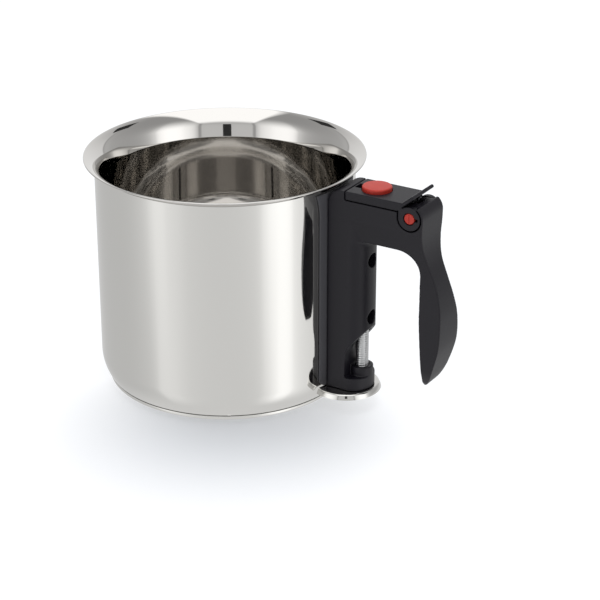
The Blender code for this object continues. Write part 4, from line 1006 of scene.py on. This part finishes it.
def lid_spring():
    """Torsion spring round the pin, one leg under the thumb tab and the other on the floor of its pocket."""
    slope = TAB_ANGLE + LID_LEG_LEAN
    start = slope + math.pi / 2
    turns = LID_COIL_TURNS + (3 * math.pi / 2 - start) / (2 * math.pi)
    winding = [Vector((p.x, p.z, p.y)) for p in coil(LID_COIL_RADIUS, start, turns, LID_COIL_PITCH)]
    under_tab = LUG_RADIUS + TAB_GAP - CLEAR - LID_WIRE / 2
    length = (under_tab - LID_COIL_RADIUS * math.cos(LID_LEG_LEAN)) / math.sin(LID_LEG_LEAN)
    upper_end = winding[0] + Vector((math.cos(slope), 0.0, math.sin(slope))) * length
    lower_end = Vector((LID_LEG, winding[-1].y, winding[-1].z))
    return wire("lid_spring_wire", [HINGE + point for point in [upper_end, *winding, lower_end]], LID_WIRE)


def button_spring():
    """Compression spring round the stem, between the floor of the well and the cap."""
    free = BUTTON_ROOF - WELL_BOTTOM - 2 * CLEAR - BUTTON_WIRE
    middle = Vector((BUTTON_AXIS, 0.0, (BUTTON_ROOF + WELL_BOTTOM) / 2))
    winding = coil(BUTTON_COIL_RADIUS, 0.0, BUTTON_COIL_TURNS, free / BUTTON_COIL_TURNS)
    return wire("button_spring_wire", [middle + point for point in winding], BUTTON_WIRE)


# Brightness of the tent round the pot, by degrees from the camera to the right
TENT_LOW = [(-180, 0.72), (-146, 0.68), (-114, 0.7), (-95, 0.73), (-80, 0.82), (-72, 0.93), (-66, 1.08),
            (-58, 1.17), (-50, 1.08), (-40, 1.0), (-28, 0.9), (0, 0.86), (23, 0.93), (36, 1.28), (46, 1.52),
            (53, 1.56), (64, 1.25), (72, 1.1), (90, 0.95), (115, 0.8), (180, 0.75)]
TENT_FOOT = [(-180, 0.72), (-146, 0.68), (-114, 0.7), (-95, 0.72), (-80, 0.76), (-72, 0.8), (-66, 0.88),
             (-58, 1.04), (-50, 1.04), (-40, 0.97), (-28, 0.9), (0, 0.86), (23, 0.88), (36, 1.08), (46, 1.36),
             (53, 1.5), (64, 1.25), (72, 1.1), (90, 0.95), (115, 0.8), (180, 0.75)]
TENT_HIGH = [(-180, 1.0), (-150, 0.88), (-144, 0.86), (-142, 0.45), (-140, 0.58), (-125, 0.52), (-95, 0.5),
             (-72, 0.85), (-58, 1.5), (-40, 1.3), (-28, 0.75), (-26, 0.42), (-24, 0.72), (0, 0.72), (24, 0.72),
             (26, 0.42), (28, 0.75), (40, 1.4), (55, 1.6), (72, 0.95), (95, 0.5), (125, 0.52), (140, 0.58),
             (142, 0.45), (144, 0.86), (150, 0.88), (180, 1.0)]
TENT_FLOOR = 0.86
TENT_TOP_SIDE = 0.4
TENT_DARK = 0.04
TENT_LAMP = 1.52
PLAIN_LIGHT = 0.72
# Degrees above the level between which one part of the tent passes into the next
LOW_TO_HIGH = (-14.0, 0.0)
LOW_TO_FOOT = (-21.5, -28.0)
FOOT_TO_FLOOR = (-34.0, -62.0)
HIGH_TO_TOP = (15.0, 62.0)
# The overhead lamp, on a plane one unit above the pot
LAMP_SPREAD = 0.22              # growth of its half width towards the camera
LAMP_HALF = 0.41
LAMP_SOFT = 0.06
LAMP_NEAR = (1.55, 0.85)
LAMP_FAR = (-1.25, -1.1)
LEAST_RISE = 0.02
# Middle and half size of the tent's dark corners on that plane, and of the camera's opening in degrees
CORNER_AHEAD = (-0.86, 0.2)
CORNER_ASIDE = (0.52, 0.12)
OPENING_TURN = 4.0
OPENING_RISE = (18.0, 9.0)
# Floor, with a painted glow for the camera: weak in a patch before the pot, where the shadow is kept, and
# strong elsewhere, where it paints the shadow out
FLOOR_GLOW = 1.15
FLOOR_GLOW_SHARES = (0.1, 0.8)  # within the shadow and outside it
SHADOW_HALF = 110 * MM          # how far the floor keeps the shadow, to the sides
SHADOW_REACH = 100 * MM         # and towards the camera
SHADOW_MIDDLE = 0.9             # its middle before the pot's axis, in shares of that reach
FLOOR_DROP = 0.2 * MM


def calc(tree, operation, *values):
    """Result of one sum on values or sockets."""
    return add(tree, "ShaderNodeMath", dict(enumerate(values)), operation=operation).outputs[0]


def ramp(tree, value, ends, kind="LINEAR"):
    """0 to 1 as a value goes from one end to the other."""
    ends = {"Value": value, "From Min": ends[0], "From Max": ends[1]}
    return add(tree, "ShaderNodeMapRange", ends, interpolation_type=kind).outputs[0]


def blend(tree, share, low, high):
    """Mix of two values."""
    return add(tree, "ShaderNodeMix", {"Factor": share, "A": low, "B": high}).outputs[0]


def towards_camera(tree, vector):
    """Vector with +X to the camera's right and -Y towards it."""
    turn = {"Vector": vector, "Angle": -CAMERA_TURN}
    return add(tree, "ShaderNodeVectorRotate", turn, rotation_type="Z_AXIS").outputs[0]


def studio():
    """White ground for the camera, plain even light for the surfaces, and a light tent for reflections."""
    world = bpy.data.worlds.new("light_tent")
    bpy.context.scene.world = world
    world.use_nodes = True
    tree = world.node_tree
    tree.nodes.clear()
    ray = towards_camera(tree, add(tree, "ShaderNodeTexCoord").outputs["Generated"])
    parts = add(tree, "ShaderNodeSeparateXYZ", {"Vector": ray}).outputs
    front = calc(tree, "MULTIPLY", parts["Y"], -1.0)
    round_angle = calc(tree, "ARCTAN2", parts["X"], front)
    # 0 behind the pot, over its left and the camera at 0.5, to its right and behind again at 1.
    turn = ramp(tree, round_angle, (-math.pi, math.pi))
    rise = calc(tree, "DEGREES", calc(tree, "ARCSINE", parts["Z"]))
    low, high, foot = [tent_ramp(tree, turn, stops) for stops in (TENT_LOW, TENT_HIGH, TENT_FOOT)]
    walls = blend(tree, ramp(tree, rise, LOW_TO_HIGH, "SMOOTHSTEP"), low, high)
    walls = blend(tree, ramp(tree, rise, LOW_TO_FOOT), walls, foot)
    walls = blend(tree, ramp(tree, rise, FOOT_TO_FLOOR, "SMOOTHSTEP"), walls, TENT_FLOOR)
    walls = blend(tree, ramp(tree, rise, HIGH_TO_TOP, "SMOOTHSTEP"), walls, TENT_TOP_SIDE)
    # Overhead lamp: a long panel over the pot, wider towards the camera.
    height = calc(tree, "MAXIMUM", parts["Z"], LEAST_RISE)
    aside = calc(tree, "ABSOLUTE", calc(tree, "DIVIDE", parts["X"], height))
    ahead = calc(tree, "DIVIDE", front, height)
    edge = calc(tree, "MULTIPLY_ADD", ahead, LAMP_SPREAD, LAMP_HALF)
    panel = ramp(tree, calc(tree, "SUBTRACT", edge, aside), (0.0, LAMP_SOFT))
    panel = calc(tree, "MULTIPLY", panel, ramp(tree, ahead, LAMP_NEAR, "SMOOTHSTEP"))
    panel = calc(tree, "MULTIPLY", panel, ramp(tree, ahead, LAMP_FAR))
    # Dark corners of the tent, behind and beside the end of that panel.
    corner = calc(tree, "COMPARE", ahead, *CORNER_AHEAD)
    corner = calc(tree, "MULTIPLY", corner, calc(tree, "COMPARE", aside, *CORNER_ASIDE))
    tent = blend(tree, panel, blend(tree, corner, walls, TENT_DARK), TENT_LAMP)
    # Opening of the tent that the picture is taken through.
    opening = calc(tree, "COMPARE", round_angle, 0.0, math.radians(OPENING_TURN))
    opening = calc(tree, "MULTIPLY", opening, calc(tree, "COMPARE", rise, *OPENING_RISE))
    tent = blend(tree, opening, tent, TENT_DARK)
    reflected = add(tree, "ShaderNodeBackground", {"Color": (1.0, 1.0, 1.0, 1.0), "Strength": tent})
    plain = add(tree, "ShaderNodeBackground", {"Color": linear("FAFCFF"), "Strength": PLAIN_LIGHT})
    white = add(tree, "ShaderNodeBackground", {"Color": (1.0, 1.0, 1.0, 1.0), "Strength": 1.0})
    path = add(tree, "ShaderNodeLightPath").outputs
    mixed = plain.outputs[0]
    for kind, light in (("Is Glossy Ray", reflected), ("Is Camera Ray", white)):
        mixed = add(tree, "ShaderNodeMixShader", {0: path[kind], 1: mixed, 2: light.outputs[0]}).outputs[0]
    add(tree, "ShaderNodeOutputWorld", {"Surface": mixed})


def tent_ramp(tree, share, stops):
    """Brightness along a turn, from its stops in degrees."""
    drawn = add(tree, "ShaderNodeFloatCurve", {"Value": share})
    curve = drawn.mapping.curves[0]
    top = max(level for _, level in stops)
    for degrees, level in stops[1:-1]:
        curve.points.new((degrees + 180) / 360, level / top)
    curve.points[0].location = (0.0, stops[0][1] / top)
    curve.points[-1].location = (1.0, stops[-1][1] / top)
    drawn.mapping.update()
    return calc(tree, "MULTIPLY", drawn.outputs[0], top)


def floor():
    """White floor with a painted glow for the camera, strong away from the pot so that it paints the shadow
    out there, weak before the pot, where it keeps the soft shadow.
    """
    ground = lathe("floor", [(0.0, 0.0), (0.3, 0.0), (1.0, 0.0), (6.0, 0.0), (0.0, -0.01)], 64)
    made, tree, shader = finish("floor_white_card_painted_glow", "F4F6F9", 0.9)
    # Painted glow: the floor gives off light to the camera, though it is no lamp.
    glow = add(tree, "ShaderNodeEmission", {"Color": linear("F8F9FB"), "Strength": FLOOR_GLOW})
    place = towards_camera(tree, add(tree, "ShaderNodeTexCoord").outputs["Object"])
    scale = (1 / SHADOW_HALF, 1 / SHADOW_REACH, 0.0)
    spread = add(tree, "ShaderNodeMapping", {"Vector": place, "Location": (0.0, SHADOW_MIDDLE, 0.0),
                                             "Scale": scale}).outputs[0]
    far = add(tree, "ShaderNodeVectorMath", {0: spread, 1: spread}, operation="DOT_PRODUCT").outputs["Value"]
    # Share of the painted glow: small in the patch before the pot, large outside it, where it paints the
    # shadow out.
    inside, outside = FLOOR_GLOW_SHARES
    painted_glow_share = add(tree, "ShaderNodeMapRange", {"Value": far, "To Min": inside, "To Max": outside}).outputs[0]
    share = calc(tree, "MULTIPLY", add(tree, "ShaderNodeLightPath").outputs["Is Camera Ray"], painted_glow_share)
    mixed = add(tree, "ShaderNodeMixShader", {0: share, 1: shader.outputs[0], 2: glow.outputs[0]})
    tree.links.new(mixed.outputs[0], tree.nodes["Material Output"].inputs["Surface"])
    ground.data.materials.append(made)
    ground.visible_glossy = False
    ground.location = (0.0, 0.0, -FLOOR_DROP)


def lamp():
    """Soft light from above and behind, so that the shadow falls towards the camera."""
    light = bpy.data.lights.new("top_light", "SUN")
    light.energy = 1.2
    light.angle = math.radians(50.0)
    holder = bpy.data.objects.new("top_light", light)
    bpy.context.scene.collection.objects.link(holder)
    holder.rotation_euler = Vector((0.2, -0.33, -1.0)).to_track_quat("-Z", "Y").to_euler()
    holder.visible_glossy = False


def camera():
    """Camera of the photograph."""
    view = bpy.data.cameras.new("camera")
    view.sensor_width = SENSOR
    view.lens = LENS
    view.clip_start = 0.01
    view.clip_end = 50.0
    holder = bpy.data.objects.new("camera", view)
    bpy.context.scene.collection.objects.link(holder)
    turn, pitch = CAMERA_TURN, CAMERA_PITCH
    ahead = Vector((-math.sin(turn) * math.cos(pitch), math.cos(turn) * math.cos(pitch), -math.sin(pitch)))
    looked_at = Vector((CAMERA_ASIDE * math.cos(turn), CAMERA_ASIDE * math.sin(turn), CAMERA_UP))
    holder.location = looked_at - ahead * CAMERA_DISTANCE
    holder.rotation_euler = ahead.to_track_quat("-Z", "Y").to_euler()
    bpy.context.scene.camera = holder


def build():
    """Set up the studio and put every fine piece in its place."""
    bpy.context.scene.view_settings.view_transform = "Standard"
    bpy.context.scene.cycles.glossy_bounces = MIRROR_BOUNCES
    camera()
    studio()
    floor()
    lamp()
    dress_cad()
    take_over(outer_shell(), "outer_shell")
    take_over(inner_bowl(), "inner_bowl", "spun_steel")
    take_over(base_cap(), "base_cap")
    take_over(handle_body(), "handle_body")
    take_over(lid_flap(), "lid_flap")
    # The spacer's lighter grey-black is partly painted light, standing in for the light on it beside the
    # column.
    take_over(handle_spacer(), "handle_spacer", "matt_moulding")
    for made in (flame_guard, clamp_stud, filler_neck, neck_seal, whistle_plate, vent_button,
                 hinge_pin, lid_spring, button_spring):
        take_over(made(), made.__name__)
    for node, height in zip(("lower_handle_screw", "upper_handle_screw"), SCREW_HEIGHTS):
        take_over(handle_screw(f"{node}_head", height), node)


build()
